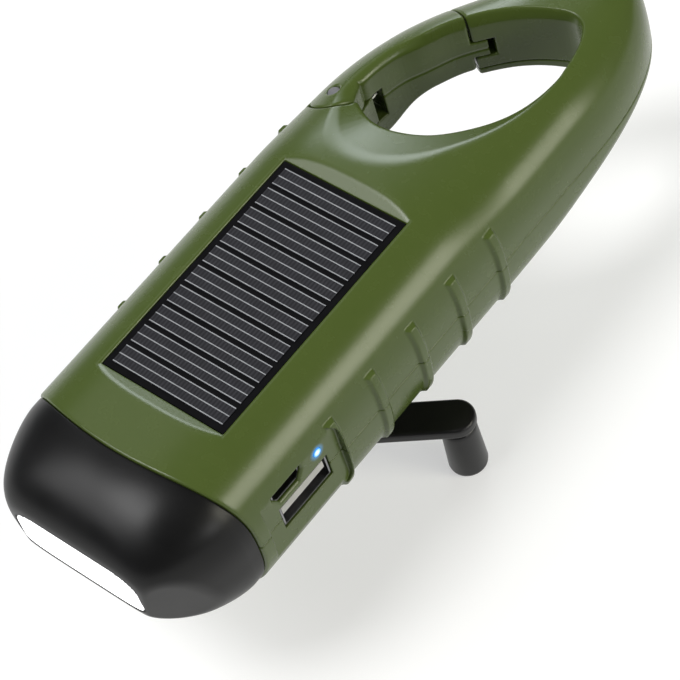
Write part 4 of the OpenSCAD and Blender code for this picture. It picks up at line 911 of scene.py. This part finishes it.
def studio_world():
    """Even light from above that grows towards the horizon."""
    world = bpy.data.worlds.new("studio")
    world.use_nodes = True
    tree = world.node_tree
    back = tree.nodes["Background"]
    back.inputs["Color"].default_value = (1, 1, 1, 1)
    where = node(tree, "ShaderNodeTexCoord")
    parts = node(tree, "ShaderNodeSeparateXYZ")
    rise = node(tree, "ShaderNodeMapRange", {"From Min": HORIZON_LOW, "From Max": HORIZON_TOP,
        "To Min": HORIZON, "To Max": AMBIENT})
    tree.links.new(where.outputs["Generated"], parts.inputs["Vector"])
    tree.links.new(parts.outputs["Z"], rise.inputs["Value"])
    tree.links.new(rise.outputs["Result"], back.inputs["Strength"])
    return world


floor = solid_from("floor", [(i * FLOOR_REACH, j * FLOOR_REACH, low_z)
    for i, j in ((-1, -1), (1, -1), (1, 1), (-1, 1))], [(0, 1, 2, 3)])
floor.data.materials.append(floor_material())
bpy.context.scene.world = studio_world()

CENTRE = (0, -0.05, 0)


def aimed(name, data, at):
    obj = new_object(name, data)
    obj.location = at
    obj.rotation_euler = (Vector(CENTRE) - Vector(at)).to_track_quat("-Z", "Y").to_euler()


def lamp(name, at, size, power, colour):
    data = bpy.data.lights.new(name, "AREA")
    data.shape = "RECTANGLE"
    data.size, data.size_y = size
    data.energy = power
    data.color = colour
    aimed(name, data, at)


def sky_lamp(name, at, spread, strength):
    """Far soft lamp that lights the whole floor evenly."""
    data = bpy.data.lights.new(name, "SUN")
    data.angle = math.radians(spread)
    data.energy = strength
    aimed(name, data, at)


# Places and sizes in metres, power in watts
WHITE, WARM, COOL = (1, 1, 1), (1, 0.98, 0.82), (0.90, 0.98, 1)
sky_lamp("key", (-0.25, -0.35, 0.85), spread=24, strength=1.75)
lamp("front_light", (-0.48, -0.60, 0.68), (0.45, 0.45), 2.8, WHITE)
lamp("right_light", (0.84, 0.28, 0.42), (0.36, 0.50), 4.9, WARM)
lamp("right_front_light", (0.94, -0.12, 0.36), (0.20, 0.30), 1.2, WHITE)
lamp("back_light", (-0.6, 0.70, 0.34), (0.45, 0.3), 2.8, COOL)
lamp("top_fill", (-0.6, 0.30, 0.85), (0.6, 0.6), 0.9, WHITE)

# Camera of the photograph
CAMERA_AT = (0.2681, -0.2398, 0.4247)
CAMERA_TURN = (35.07, 11.52, 38.79)
SENSOR_W, FOCAL_L, CLIP_NEAR, CLIP_FAR = 36, 152.63, 0.01, 50
camera = bpy.data.cameras.new("camera")
camera.sensor_width = SENSOR_W
camera.lens = FOCAL_L
camera.clip_start, camera.clip_end = CLIP_NEAR, CLIP_FAR
viewer = new_object("camera", camera)
viewer.location = CAMERA_AT
viewer.rotation_euler = [math.radians(angle) for angle in CAMERA_TURN]
bpy.context.scene.camera = viewer
bpy.context.scene.view_settings.view_transform = "Standard"
bpy.context.scene.view_settings.look = "None"
